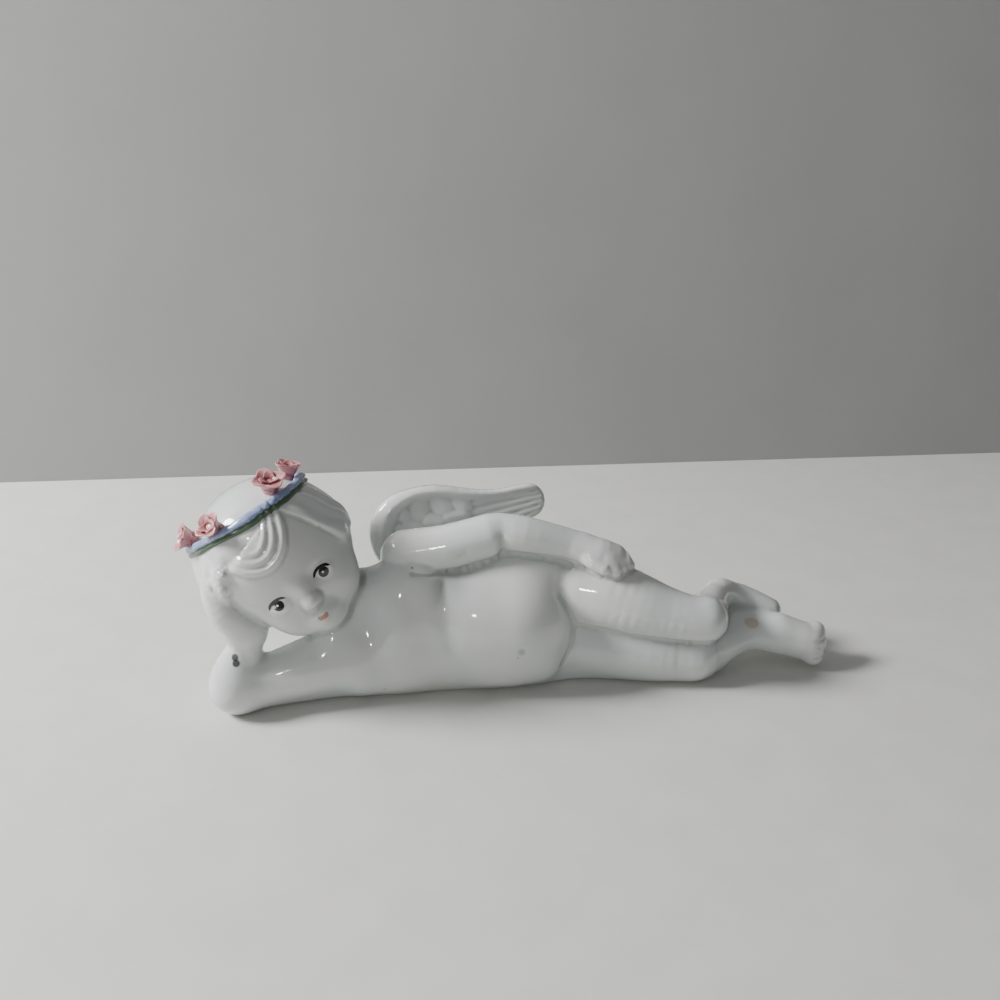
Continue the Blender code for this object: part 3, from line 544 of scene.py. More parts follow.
@dataclass
class WingForm:
    """One wing: a rounded leading bar, scalloped coverts and long flight feathers."""

    centre: Station
    along: Station
    up: Station
    outline: tuple[Station, ...] = ((-0.5, -0.5, 15.1), (7.0, 1.0, 14.5), (20.0, 2.2, 10.9),
                                    (30.0, 4.4, 8.0), (40.0, 7.4, 6.2))
    bar: tuple[Station, ...] = ((-11.5, -6.0, 4.6), (-11.0, 2.0, 4.8), (-7.0, 9.0, 4.2),
                                (1.0, 12.9, 3.0), (8.5, 13.3, 2.8), (17.0, 11.8, 2.6),
                                (27.0, 11.2, 2.4), (37.0, 12.2, 2.0), (44.0, 12.6, 1.8))
    coverts: tuple[Station, ...] = ((-9.0, 6.0, -7.5, 3.0, 3.3), (-4.2, 10.5, -3.3, 6.0, 3.2),
                                    (2.0, 10.5, 1.7, 6.2, 4.2), (9.0, 10.5, 10.4, 7.8, 4.5),
                                    (15.6, 9.6, 17.0, 8.0, 3.7), (-7.0, 2.0, -4.0, 0.0, 3.4),
                                    (-1.6, 2.8, 1.0, 1.2, 3.6), (5.0, 3.6, 8.6, 2.8, 3.4),
                                    (11.5, 4.2, 17.2, 5.0, 2.7), (12.0, 0.4, 17.4, 1.2, 2.8),
                                    (0.0, -3.5, 7.0, -3.4, 2.8), (9.0, -3.6, 15.0, -2.6, 2.4))
    thickness: float = 5.2
    feather_height: float = 0.9
    vane_depth: float = 0.35
    edge_fillet: float = 1.6
    vanishing_place: tuple[float, float] = (75.0, 13.0)
    vane_angle: float = 0.056

    def crowned(self, flat: Points) -> Values:
        """Height of the round-backed coverts: two ends and a half width for each."""
        height = np.zeros(len(flat))
        for start_x, start_y, end_x, end_y, width in self.coverts:
            inside = -limb(flat, (start_x, start_y, width), (end_x, end_y, width)) / width
            inside = np.clip(inside, 0.0, 1.0)
            height = np.maximum(height, inside * (2.0 - inside))
        return height

    def field(self, points: Points) -> Values:
        """Distance to the wing, in the figure's directions."""
        local = (points - np.asarray(self.centre)) @ plane_axes(self.along, self.up)
        flat = local[:, :2]
        outline = chain(flat, self.outline)
        bar = chain(flat, self.bar)
        feathers = self.feather_height * self.crowned(flat)
        depth = np.clip(-bar, 0.0, 5.0)
        rail = depth * (1.0 - 0.09 * depth) * (1.0 - 0.7 * ramp(flat[:, 0], 8.0, 32.0))
        half = 0.5 * self.thickness - 0.022 * flat[:, 0] + np.maximum(rail, feathers)
        offset = flat - np.asarray(self.vanishing_place)
        fan = np.arctan2(offset[:, 1], -offset[:, 0])
        grooves = 1.0 - ridge(fan, self.vane_angle)
        flight = ramp(flat[:, 0], 17.0, 21.0) * (1.0 - ramp(feathers, 0.0, 0.4))
        half = half - self.vane_depth * flight * grooves * (1.0 - ramp(depth, 0.2, 1.2))
        return -blend(-outline, half - np.abs(local[:, 2]), self.edge_fillet)


TRUNK = BodyForm()
LEFT_WING = WingForm((-40.0, 19.0, 46.0), (1.0, 0.05, 0.03), (0.0, 0.28, 1.0))
RIGHT_WING = WingForm((-40.0, 19.5, 12.5), (1.0, 0.10, 0.0), (0.0, 0.90, -0.42))


def figure(points: Points) -> Values:
    """Distance to the whole casting, cut off level where it lies on the table."""
    field = near_only(points, (-25.0, 0.0, 20.0), 88.0, TRUNK.torso)
    for centre, reach, form, fillet in (((56.0, -2.0, 10.0), 56.0, TRUNK.right_leg, 3.0),
                                        ((48.0, 0.0, 22.0), 46.0, TRUNK.left_leg, 2.0),
                                        ((-88.0, -4.0, 26.0), 40.0, TRUNK.right_arm, 4.0),
                                        ((-8.0, 0.0, 47.0), 46.0, TRUNK.left_arm, 1.2)):
        field = blend(field, near_only(points, centre, reach, form), fillet)
    field = field + TRUNK.folds(points)
    for wing in (LEFT_WING, RIGHT_WING):
        middle = (wing.centre[0] + 14.0, wing.centre[1], wing.centre[2])
        field = blend(field, near_only(points, middle, 36.0, wing.field), WING_FILLET)
    field = blend(field, near_only(points, HEAD.centre, 30.0, HEAD.field), HEAD_FILLET)
    return carve(field, points[:, 2], TABLE_EDGE)


def vertices_of(mesh: bpy.types.Mesh) -> Points:
    """Vertex places of a mesh as rows of an array."""
    flat = np.empty(len(mesh.vertices) * 3)
    mesh.vertices.foreach_get("co", flat)
    return flat.reshape(-1, 3)


def put_vertices(mesh: bpy.types.Mesh, places: Points) -> None:
    """Write vertex places back to a mesh."""
    mesh.vertices.foreach_set("co", places.ravel())
    mesh.update()


def added(name: str, mesh: bpy.types.Mesh) -> bpy.types.Object:
    """New object with a mesh, linked to the scene."""
    piece = bpy.data.objects.new(name, mesh)
    bpy.context.scene.collection.objects.link(piece)
    return piece


def applied(piece: bpy.types.Object) -> None:
    """Bake the modifiers of an object into its mesh."""
    graph = bpy.context.evaluated_depsgraph_get()
    mesh = bpy.data.meshes.new_from_object(piece.evaluated_get(graph))
    piece.modifiers.clear()
    piece.data = mesh


def finished(piece: bpy.types.Object, node: str, glaze: bpy.types.Material) -> None:
    """Glaze a piece and let it take the place of its solid.

    Args:
        piece: The modelled piece.
        node: Name of the solid that it replaces.
        glaze: Its material.
    """
    mesh = piece.data
    mesh.materials.clear()
    mesh.materials.append(glaze)
    mesh.shade_smooth()
    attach(piece, BODY)
    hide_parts(node)
    LOG.info("%s: %d faces", piece.name, len(mesh.polygons))


def evenly_skinned(piece: bpy.types.Object, voxel: float) -> None:
    """Remesh an object with even quads of a given size."""
    remesh = piece.modifiers.new("Even skin", "REMESH")
    remesh.mode = "VOXEL"
    remesh.voxel_size = voxel
    applied(piece)


@dataclass
class Neighbours:
    """Edges of a mesh, for smoothing and for finding hollows."""

    mesh: bpy.types.Mesh

    def __post_init__(self) -> None:
        """Read the edges and count them at each vertex."""
        flat = np.empty(len(self.mesh.edges) * 2, dtype=np.int32)
        self.mesh.edges.foreach_get("vertices", flat)
        self.pairs = flat.reshape(-1, 2)
        self.size = len(self.mesh.vertices)
        self.count = np.bincount(flat, minlength=self.size) + 1e-9

    def mean(self, values: Values) -> Values:
        """Mean over each vertex's neighbours of one value per vertex."""
        first, second = self.pairs[:, 0], self.pairs[:, 1]
        total = np.bincount(first, values[second], self.size)
        total = total + np.bincount(second, values[first], self.size)
        return total / self.count

    def mean_places(self, places: Points) -> Points:
        """Mean place of each vertex's neighbours."""
        return np.stack([self.mean(places[:, axis]) for axis in range(3)], 1)

    def relaxed(self, places: Points, weight: Values, rounds: int) -> Points:
        """Smooth places, more where the weight is high.

        Args:
            places: Vertex places.
            weight: Share of each move that is made, by vertex.
            rounds: Number of moves.

        Returns:
            The smoothed places.
        """
        for _ in range(rounds):
            places = places + 0.5 * weight[:, None] * (self.mean_places(places) - places)
        return places


@dataclass
class Zone:
    """Ball in the figure where the skin is finer."""

    centre: Station
    reach: float

    def holds(self, places: Points) -> np.ndarray:
        """Which places lie inside."""
        return np.linalg.norm(places - np.asarray(self.centre), axis=1) < self.reach


def head_zone(local: Station, reach: float) -> Zone:
    """Zone given by a place in the head's directions."""
    centre = HEAD.from_head(np.array((local,)))[0]
    return Zone(tuple(centre.tolist()), reach)


@dataclass
class CherubCasting:
    """The one-piece porcelain casting: body, limbs, hair and wings."""

    name: str = "cherub_casting"
    node: str = "cherub_figure"
    voxel: float = 1.12
    smoothing_rounds: int = 2
    held_share: float = 0.97
    last_smoothing: float = 0.6
    hollow_rounds: int = 4
    middle: Points | None = None

    def fine_zones(self) -> list[Zone]:
        """Places with small relief: face, hair, wings, hands, feet and folds."""
        return [head_zone((0.0, 12.0, 0.0), 26.0),
                head_zone((16.0, 0.0, 0.0), 18.0),
                head_zone((-16.0, 4.0, 4.0), 18.0),
                Zone((-26.0, 14.0, 50.0), 30.0),
                Zone((2.0, 20.0, 52.0), 16.0),
                Zone((26.0, -4.0, 41.0), 11.0),
                Zone((97.0, -4.0, 8.0), 11.0),
                Zone((-12.0, 0.0, 47.0), 8.0),
                Zone((-6.6, -18.0, 19.8), 6.0),
                Zone((10.0, -12.0, 24.0), 11.0),
                Zone((10.5, -13.0, 12.0), 7.0),
                Zone((-16.5, -5.0, 43.5), 5.5),
                Zone((-28.5, -8.0, 41.0), 5.5),
                Zone((28.0, -14.0, 19.5), 9.0),
                Zone((42.0, -15.0, 17.5), 9.0),
                Zone((54.0, -14.0, 17.0), 9.0),
                Zone((-34.0, -7.0, 41.0), 8.0),
                Zone((-23.0, -5.0, 42.0), 8.0),
                Zone((4.0, -5.0, 45.5), 9.0)]

    def finest_zones(self) -> list[Zone]:
        """Places with the smallest relief: eyes, nose and lips."""
        return [head_zone((-8.0, 21.0, -6.5), 5.0),
                head_zone((8.0, 21.0, -6.5), 5.0),
                head_zone((0.0, 23.0, -11.0), 5.5),
                head_zone((0.0, 20.5, -18.5), 5.5)]

    def to_shares(self, places: Points) -> Points:
        """Places in the figure's shares from places in the frame's metres."""
        return places / SHARE + self.middle

    def to_metres(self, places: Points) -> Points:
        """Places in the frame's metres from places in the figure's shares."""
        return (places - self.middle) * SHARE

    def refine(self, mesh: bpy.types.Mesh, zones: list[Zone]) -> None:
        """Split the faces inside zones in four, and close up to their neighbours.

        Args:
            mesh: Mesh in shares.
            zones: Places where its faces are split.
        """
        model = bmesh.new()
        model.from_mesh(mesh)
        centres = np.array([face.calc_center_median()[:] for face in model.faces])
        inside = np.any([zone.holds(centres) for zone in zones], axis=0)
        model.faces.ensure_lookup_table()
        edges = {edge for index in np.flatnonzero(inside) for edge in model.faces[index].edges}
        bmesh.ops.subdivide_edges(model, edges=list(edges), cuts=1, use_grid_fill=True)
        odd = [face for face in model.faces if len(face.verts) > 4]
        bmesh.ops.triangulate(model, faces=odd)
        model.to_mesh(mesh)
        model.free()

    def held_zones(self) -> list[Zone]:
        """Places that keep their relief: wings, hand, toes and navel."""
        return [Zone((-22.0, 16.0, 52.0), 34.0),
                Zone((-22.0, 22.0, 10.0), 34.0),
                Zone((27.0, -4.0, 41.0), 9.0),
                Zone((98.0, -4.0, 8.0), 9.0),
                Zone((-6.6, -18.0, 19.8), 4.5)]

    def smoothness(self, places: Points) -> Values:
        """How far each place may be smoothed: fully on the body, little on fine relief."""
        local = HEAD.to_head(places)
        hold = 1.0 - ramp(np.linalg.norm(local, axis=1), 28.0, 33.0)
        for zone in self.held_zones():
            reach = np.linalg.norm(places - np.asarray(zone.centre), axis=1)
            hold = np.maximum(hold, 1.0 - ramp(reach, zone.reach - 3.0, zone.reach + 3.0))
        return 1.0 - self.held_share * hold

    def find_middle(self, garland: "Garland") -> None:
        """Find where the frame's origin lies in the figure, from the garland's solid."""
        low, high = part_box(garland.node)
        corners = garland.solid_corners().reshape(-1, 3)
        span = 0.5 * (corners.min(axis=0) + corners.max(axis=0))
        solid = 0.5 * (np.array(low[:]) + np.array(high[:])) / SHARE
        self.middle = span - solid

    def build(self, glaze: bpy.types.Material) -> bpy.types.Object:
        """Make the fine casting over its solid.

        Args:
            glaze: Material of the casting.

        Returns:
            The finished piece.
        """
        model = bmesh.new()
        model.from_mesh(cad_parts[self.node].data)
        bmesh.ops.remove_doubles(model, verts=model.verts[:], dist=2e-6)
        mesh = bpy.data.meshes.new(self.name)
        model.to_mesh(mesh)
        model.free()
        put_vertices(mesh, self.to_shares(vertices_of(mesh)))
        piece = added(self.name, mesh)
        evenly_skinned(piece, self.voxel)
        mesh = piece.data
        put_vertices(mesh, drawn_onto(figure, vertices_of(mesh), 0.0, 2))
        self.refine(mesh, self.fine_zones())
        put_vertices(mesh, drawn_onto(figure, vertices_of(mesh), 0.0, 1))
        self.refine(mesh, self.finest_zones())
        places = drawn_onto(figure, vertices_of(mesh), 0.0, 2)
        around = Neighbours(mesh)
        places = around.relaxed(places, self.smoothness(places), self.smoothing_rounds)
        places = around.relaxed(places, np.full(len(places), self.last_smoothing), 1)
        put_vertices(mesh, places)
        self.mark_hollows(mesh, around, places)
        put_vertices(mesh, self.to_metres(places))
        finished(piece, self.node, glaze)
        return piece

    def mark_hollows(self, mesh: bpy.types.Mesh, around: Neighbours, places: Points) -> None:
        """Keep how hollow the skin is at each vertex, for the painted shade in the glazes' hollows and
        creases and for the rose's pale edges.
        """
        flat = np.empty(len(mesh.vertices) * 3)
        mesh.vertices.foreach_get("normal", flat)
        rise = ((around.mean_places(places) - places) * flat.reshape(-1, 3)).sum(axis=1)
        first, second = around.pairs[:, 0], around.pairs[:, 1]
        gap = np.linalg.norm(places[first] - places[second], axis=1)
        total = np.bincount(first, gap, around.size) + np.bincount(second, gap, around.size)
        hollow = 4.0 * rise / (total / around.count) ** 2
        for _ in range(self.hollow_rounds):
            hollow = 0.5 * hollow + 0.5 * around.mean(hollow)
        layer = mesh.attributes.new("hollow", "FLOAT", "POINT")
        layer.data.foreach_set("value", np.clip(hollow, -1.0, 1.0).astype(np.float32))


@dataclass
class Garland:
    """Hand-cut clay ribbon laid round the hair: a blue strip over a green edge."""

    name: str = "garland_ribbon"
    node: str = "garland_band"
    width: float = 3.4
    thickness: float = 2.0
    gap: float = 0.4
    height: float = 17.0
    slopes: tuple[float, float] = (-0.17, 0.13)
    solid_sections: int = 64
    sections: int = 420

    def seat(self, bearings: Values, lift: float) -> Points:
        """Points on the hair at a lift over the ribbon's plane, by bearing from the face."""
        directions = np.stack((np.sin(bearings), np.cos(bearings), np.zeros_like(bearings)), 1)
        middle = np.array((HEAD.band_axis[0], HEAD.band_axis[1], 0.0))
        low, high = np.zeros_like(bearings), np.full_like(bearings, 30.0)
        for _ in range(24):
            reach = 0.5 * (low + high)
            local = middle + reach[:, None] * directions
            local[:, 2] = self.height + lift + local[:, :2] @ np.asarray(self.slopes)
            inside = HEAD.field(HEAD.from_head(local)) < 0.0
            low = np.where(inside, reach, low)
            high = np.where(inside, high, reach)
        return HEAD.from_head(local)

    def track(self, count: int) -> tuple[Values, Points, Points, Points]:
        """Bearings, seats, outward directions and directions across the ribbon."""
        bearings = np.arange(count) * 2.0 * math.pi / count
        seat = self.seat(bearings, 0.0)
        outward = gradient(HEAD.field, seat, 0.6)[1]
        along = np.roll(seat, -1, axis=0) - np.roll(seat, 1, axis=0)
        across = np.cross(outward, along)
        across = across / np.linalg.norm(across, axis=1, keepdims=True)
        return bearings, seat, outward, across

    def solid_corners(self) -> Points:
        """Corner points of the ribbon's solid, section by section."""
        seat, outward, across = self.track(self.solid_sections)[1:]
        rings = []
        for sideways, lift in ((-1.0, 0.0), (-1.0, 0.6), (-0.6, 1.0),
                               (0.6, 1.0), (1.0, 0.6), (1.0, 0.0)):
            foot = seat + sideways * 0.5 * self.width * across
            foot = drawn_onto(HEAD.field, foot, self.gap, 4)
            rings.append(foot + lift * self.thickness * outward)
        return np.stack(rings, 1)

    def profile(self) -> list[tuple[float, float]]:
        """Section of the ribbon as shares of its half width and of its thickness.

        Returns:
            Places from the crown side over the blue strip to the green edge.
        """
        blue = [(-0.96 + 1.34 * t, 1.0 - 0.16 * abs(2.0 * t - 1.0) ** 3)
                for t in np.linspace(0, 1, 9)]
        crown = [(-0.92, -0.35), (-1.04, 0.05), (-1.08, 0.45), (-1.04, 0.72)]
        step = [(0.46, 0.72), (0.5, 0.56), (0.56, 0.47)]
        green = [(0.66, 0.5), (0.86, 0.5), (1.04, 0.44), (1.16, 0.3), (1.2, 0.06), (1.1, -0.35)]
        return crown + blue + step + green

    def build(self, casting: CherubCasting, glaze: bpy.types.Material) -> bpy.types.Object:
        """Make the ribbon, uneven in width and thickness as cut by hand.

        Args:
            casting: The casting that it lies on.
            glaze: Material of the ribbon.

        Returns:
            The finished piece.
        """
        bearings, seat, outward, across = self.track(self.sections)
        towards_face = -np.sign(across @ HEAD.axes()[:, 2])
        across = across * towards_face[:, None]
        for _ in range(10):
            outward = outward + 0.5 * (np.roll(outward, 1, 0) + np.roll(outward, -1, 0))
            outward = outward / np.linalg.norm(outward, axis=1, keepdims=True)
        sway = 0.25 * np.sin(3.0 * bearings + 0.6) + 0.14 * np.sin(7.0 * bearings + 2.0)
        breadth = 1.0 + 0.07 * np.sin(4.0 * bearings + 1.1) + 0.04 * np.sin(11.0 * bearings)
        depth = 1.0 + 0.08 * np.sin(5.0 * bearings + 0.4) + 0.05 * np.sin(13.0 * bearings + 1.0)
        rings = []
        for sideways, lift in self.profile():
            reach = 0.5 * self.width * sideways * breadth + sway
            foot = drawn_onto(HEAD.field, seat + reach[:, None] * across, 0.0, 3)
            rings.append(foot + (lift * self.thickness * depth)[:, None] * outward)
        rings = np.stack(rings, 1)
        count, corners = rings.shape[:2]
        index = np.arange(count * corners).reshape(count, corners)
        after = np.roll(index, -1, axis=0)
        faces = np.stack((index, np.roll(index, -1, 1), np.roll(after, -1, 1), after), -1)
        mesh = bpy.data.meshes.new(self.name)
        mesh.from_pydata(casting.to_metres(rings.reshape(-1, 3)).tolist(), [],
                         faces.reshape(-1, 4).tolist())
        layer = mesh.attributes.new("across", "FLOAT", "POINT")
        sideways = np.tile([place[0] for place in self.profile()], count)
        layer.data.foreach_set("value", sideways.astype(np.float32))
        model = bmesh.new()
        model.from_mesh(mesh)
        bmesh.ops.recalc_face_normals(model, faces=model.faces[:])
        model.to_mesh(mesh)
        model.free()
        piece = added(self.name, mesh)
        finished(piece, self.node, glaze)
        return piece


class TreeDesk:
    """Adds nodes to one node tree and joins them up."""

    COLOUR_INPUTS = (6, 7)
    COLOUR_OUTPUT = 2

    def __init__(self, tree: bpy.types.NodeTree) -> None:
        """Work on a tree."""
        self.tree = tree

    def add(self, kind: str, **settings: object) -> bpy.types.Node:
        """Add a node of a kind and give it its settings."""
        node = self.tree.nodes.new(kind)
        for name, value in settings.items():
            setattr(node, name, value)
        return node

    def feed(self, socket: bpy.types.NodeSocket, value: object) -> None:
        """Link a socket to another one, or set its value."""
        if isinstance(value, bpy.types.NodeSocket):
            self.tree.links.new(value, socket)
        else:
            socket.default_value = value

    def math(self, operation: str, *values: object) -> bpy.types.NodeSocket:
        """Result of a Math node on sockets or numbers."""
        node = self.add("ShaderNodeMath", operation=operation)
        for socket, value in zip(node.inputs, values):
            self.feed(socket, value)
        return node.outputs[0]

    def vector(self, operation: str, *values: object) -> bpy.types.NodeSocket:
        """Result of a Vector Math node on sockets or vectors."""
        node = self.add("ShaderNodeVectorMath", operation=operation)
        sockets = [socket for socket in node.inputs if socket.enabled]
        for socket, value in zip(sockets, values):
            self.feed(socket, value)
        return next(socket for socket in node.outputs if socket.enabled)

    def fade(self, value: object, start: float, end: float) -> bpy.types.NodeSocket:
        """Smooth rise from 0 at the start to 1 at the end."""
        node = self.add("ShaderNodeMapRange", interpolation_type="SMOOTHSTEP")
        self.feed(node.inputs["Value"], value)
        low, high = min(start, end), max(start, end)
        node.inputs["From Min"].default_value = low
        node.inputs["From Max"].default_value = high
        node.inputs["To Min"].default_value = 0.0 if start < end else 1.0
        node.inputs["To Max"].default_value = 1.0 if start < end else 0.0
        return node.outputs["Result"]

    def mix(self, factor: object, first: object, second: object) -> bpy.types.NodeSocket:
        """Colour between two others."""
        node = self.add("ShaderNodeMix", data_type="RGBA")
        self.feed(node.inputs["Factor"], factor)
        for index, colour in zip(self.COLOUR_INPUTS, (first, second)):
            self.feed(node.inputs[index], colour)
        return node.outputs[self.COLOUR_OUTPUT]

    def noise(self, place: object, scale: float, detail: float = 2.0) -> bpy.types.NodeSocket:
        """Noise of a number of waves to the unit."""
        node = self.add("ShaderNodeTexNoise")
        self.feed(node.inputs["Vector"], place)
        node.inputs["Scale"].default_value = scale
        node.inputs["Detail"].default_value = detail
        return node.outputs["Fac"]


@dataclass(frozen=True)
class Spot:
    """Round paint mark or fault at a place in the figure's shares."""

    place: Station
    reach: float
    colour: Colour
    strength: float = 1.0


@dataclass(frozen=True)
class Stroke:
    """Painted line in the face plane: an arc through three places, right and up."""

    start: tuple[float, float]
    top: tuple[float, float]
    end: tuple[float, float]
    half_width: float
    colour: Colour
    strength: float = 1.0

    def circle(self) -> tuple[float, float, float]:
        """Centre and radius of the circle through the three places."""
        (ax, ay), (bx, by), (cx, cy) = self.start, self.top, self.end
        double = 2.0 * (ax * (by - cy) + bx * (cy - ay) + cx * (ay - by))
        first, second, third = ax * ax + ay * ay, bx * bx + by * by, cx * cx + cy * cy
        x = (first * (by - cy) + second * (cy - ay) + third * (ay - by)) / double
        y = (first * (cx - bx) + second * (ax - cx) + third * (bx - ax)) / double
        return x, y, math.hypot(ax - x, ay - y)


@dataclass
class Finish:
    """Base of the glazes: a material with one shader and a tree to work on."""

    name: str

    def start(self) -> None:
        """Make the material and find its shader."""
        self.material = bpy.data.materials.new(self.name)
        self.material.use_nodes = True
        self.desk = TreeDesk(self.material.node_tree)
        self.shader = self.material.node_tree.nodes["Principled BSDF"]
        self.place = self.desk.add("ShaderNodeTexCoord").outputs["Object"]

    def gloss(self, cloud: bpy.types.NodeSocket, spread: float, least: float) -> None:
        """Let the roughness vary with a cloud from 0 to 1, upwards from its least value."""
        rough = self.desk.math("MULTIPLY_ADD", cloud, spread, least)
        self.desk.feed(self.shader.inputs["Roughness"], rough)

    def bump(self, height: bpy.types.NodeSocket, distance: float, strength: float) -> None:
        """Dent the surface by a height from 0 to 1 over a distance in metres."""
        node = self.desk.add("ShaderNodeBump")
        node.inputs["Distance"].default_value = distance
        node.inputs["Strength"].default_value = strength
        self.desk.feed(node.inputs["Height"], height)
        self.desk.feed(self.shader.inputs["Normal"], node.outputs["Normal"])


@dataclass
class PaintedWhiteGlaze(Finish):
    """Clear gloss glaze over a white body, with painted eyes and lips, old marks, painted shade in its
    hollows and creases, and painted highlights on the irises.
    """

    name: str = "painted_white_glaze"
    white: Colour = (0.66, 0.67, 0.645, 1.0)
    cool: Colour = (0.60, 0.635, 0.625, 1.0)
    crease_shade: Colour = (0.36, 0.385, 0.35, 1.0)
    paint_black: Colour = (0.012, 0.011, 0.012, 1.0)
    # Colour of the eye whites, also used for the painted highlights on the irises.
    eye_white_and_glint: Colour = (0.80, 0.82, 0.80, 1.0)
    lip: Colour = (0.44, 0.17, 0.10, 1.0)
    lip_edge: Colour = (0.72, 0.50, 0.46, 1.0)
    speck_black: Colour = (0.02, 0.02, 0.02, 1.0)
    stain_amber: Colour = (0.45, 0.25, 0.08, 1.0)
    glaze_ior: float = 1.52
    coat_weight: float = 0.4
    coat_roughness: float = 0.03

    def head_place(self, casting: CherubCasting) -> bpy.types.NodeSocket:
        """Place in the head's right, face and up directions, in shares."""
        node = self.desk.add("ShaderNodeMapping", vector_type="TEXTURE")
        self.desk.feed(node.inputs["Vector"], self.place)
        centre = casting.to_metres(np.array((HEAD.centre,)))[0]
        node.inputs["Location"].default_value = centre.tolist()
        node.inputs["Rotation"].default_value = Matrix(HEAD.turning().tolist()).to_euler()
        node.inputs["Scale"].default_value = (SHARE, -SHARE, SHARE)
        return node.outputs["Vector"]

    def disc(self, place: object, centre: Station, reach: float, soft: float) -> bpy.types.NodeSocket:
        """Mask of a ball: 1 inside, 0 outside, with a soft edge."""
        away = self.desk.vector("DISTANCE", place, centre)
        return self.desk.fade(away, reach + soft, reach - soft)

    def stroke(self, flat: object, line: Stroke) -> bpy.types.NodeSocket:
        """Mask of a painted line that thins out towards its ends."""
        x, y, radius = line.circle()
        away = self.desk.vector("DISTANCE", flat, (x, 0.0, y))
        off = self.desk.math("ABSOLUTE", self.desk.math("SUBTRACT", away, radius))
        middle = [0.5 * (a + b) for a, b in zip(line.start, line.end)]
        chord = [b - a for a, b in zip(line.start, line.end)]
        length = math.hypot(*chord)
        offset = self.desk.vector("SUBTRACT", flat, (middle[0], 0.0, middle[1]))
        direction = (chord[0] / length, 0.0, chord[1] / length)
        along = self.desk.math("ABSOLUTE", self.desk.vector("DOT_PRODUCT", offset, direction))
        ends = self.desk.fade(along, 0.54 * length, 0.36 * length)
        width = self.desk.math("MULTIPLY", ends, line.half_width)
        edge = self.desk.fade(self.desk.math("SUBTRACT", width, off), -0.08, 0.12)
        bow = (line.top[0] - x, 0.0, line.top[1] - y)
        centred = self.desk.vector("SUBTRACT", flat, (x, 0.0, y))
        same_side = self.desk.fade(self.desk.vector("DOT_PRODUCT", centred, bow), 0.0, 0.1)
        return self.desk.math("MULTIPLY", edge, same_side)

    def build(self, casting: CherubCasting) -> bpy.types.Material:
        """Make the glaze.

        Args:
            casting: The casting that it covers, for the places of its marks.

        Returns:
            The material.
        """
        self.start()
        desk, shader = self.desk, self.shader
        tint = desk.noise(self.place, 38.0, 3.0)
        colour = desk.mix(desk.fade(tint, 0.35, 0.65), self.white, self.cool)
        # Painted shade: the glaze turns a darker grey-green in hollows and creases, by how hollow the
        # skin is.
        hollow = desk.add("ShaderNodeAttribute", attribute_name="hollow").outputs["Fac"]
        colour = desk.mix(desk.math("MULTIPLY", desk.fade(hollow, 0.04, 0.5), 0.5),
                          colour, self.crease_shade)
        local = self.head_place(casting)
        split = desk.add("ShaderNodeSeparateXYZ")
        desk.feed(split.inputs[0], local)
        front = desk.fade(split.outputs["Y"], 10.0, 12.0)
        joined = desk.add("ShaderNodeCombineXYZ")
        desk.feed(joined.inputs["X"], split.outputs["X"])
        desk.feed(joined.inputs["Z"], split.outputs["Z"])
        flat = joined.outputs["Vector"]
        for reach, soft, centres, paint, strength in self.face_discs():
            for x, z in centres:
                mask = self.disc(flat, (x, 0.0, z), reach, soft)
                mask = desk.math("MULTIPLY", desk.math("MULTIPLY", mask, front), strength)
                colour = desk.mix(mask, colour, paint)
        for line in self.strokes():
            mask = desk.math("MULTIPLY", self.stroke(flat, line), front)
            mask = desk.math("MULTIPLY", mask, line.strength)
            colour = desk.mix(mask, colour, line.colour)
        for spot in self.spots():
            place = casting.to_metres(np.array((spot.place,)))[0].tolist()
            mask = self.disc(self.place, tuple(place), spot.reach * SHARE, 0.25 * SHARE)
            mask = desk.math("MULTIPLY", mask, spot.strength)
            colour = desk.mix(mask, colour, spot.colour)
        desk.feed(shader.inputs["Base Color"], colour)
        self.gloss(desk.noise(self.place, 160.0, 3.0), 0.08, 0.05)
        shader.inputs["IOR"].default_value = self.glaze_ior
        shader.inputs["Coat Weight"].default_value = self.coat_weight
        shader.inputs["Coat Roughness"].default_value = self.coat_roughness
        wave = desk.noise(self.place, 120.0, 2.0)
        peel = desk.noise(self.place, 900.0, 2.0)
        height = desk.math("MULTIPLY_ADD", peel, 0.06, wave)
        self.bump(height, 0.0002, 0.35)
        return self.material

    def face_discs(self) -> list[tuple[float, float, list[tuple[float, float]], Colour, float]]:
        """Reach, soft edge, places, colour and strength of the painted discs: eye whites, irises, and
        painted highlights on the irises.
        """
        left, right = (-8.7, -5.4), (7.9, -7.3)
        return [(2.4, 0.4, [(-8.2, -6.0), (8.2, -7.8)], self.eye_white_and_glint, 0.75),
                (1.7, 0.1, [left, right], self.paint_black, 1.0),
                # Painted highlights: glints of light on the irises, in the eye-white colour.
                (0.34, 0.1, [(-8.9, -5.2), (7.7, -7.1)], self.eye_white_and_glint, 0.9),
                (0.5, 0.2, [(-9.9, -5.0)], self.eye_white_and_glint, 0.7)]

    def strokes(self) -> list[Stroke]:
        """Painted lines: upper lashes and the lips."""
        return [Stroke((-11.8, -5.2), (-8.9, -3.6), (-5.4, -5.0), 0.5, self.paint_black),
                Stroke((4.4, -6.6), (7.6, -5.2), (10.8, -7.2), 0.5, self.paint_black),
                Stroke((-3.3, -16.9), (-1.5, -17.6), (0.3, -17.3), 0.8, self.lip, 0.85),
                Stroke((-2.6, -18.8), (-1.1, -19.5), (0.4, -19.0), 0.7, self.lip_edge, 0.45)]

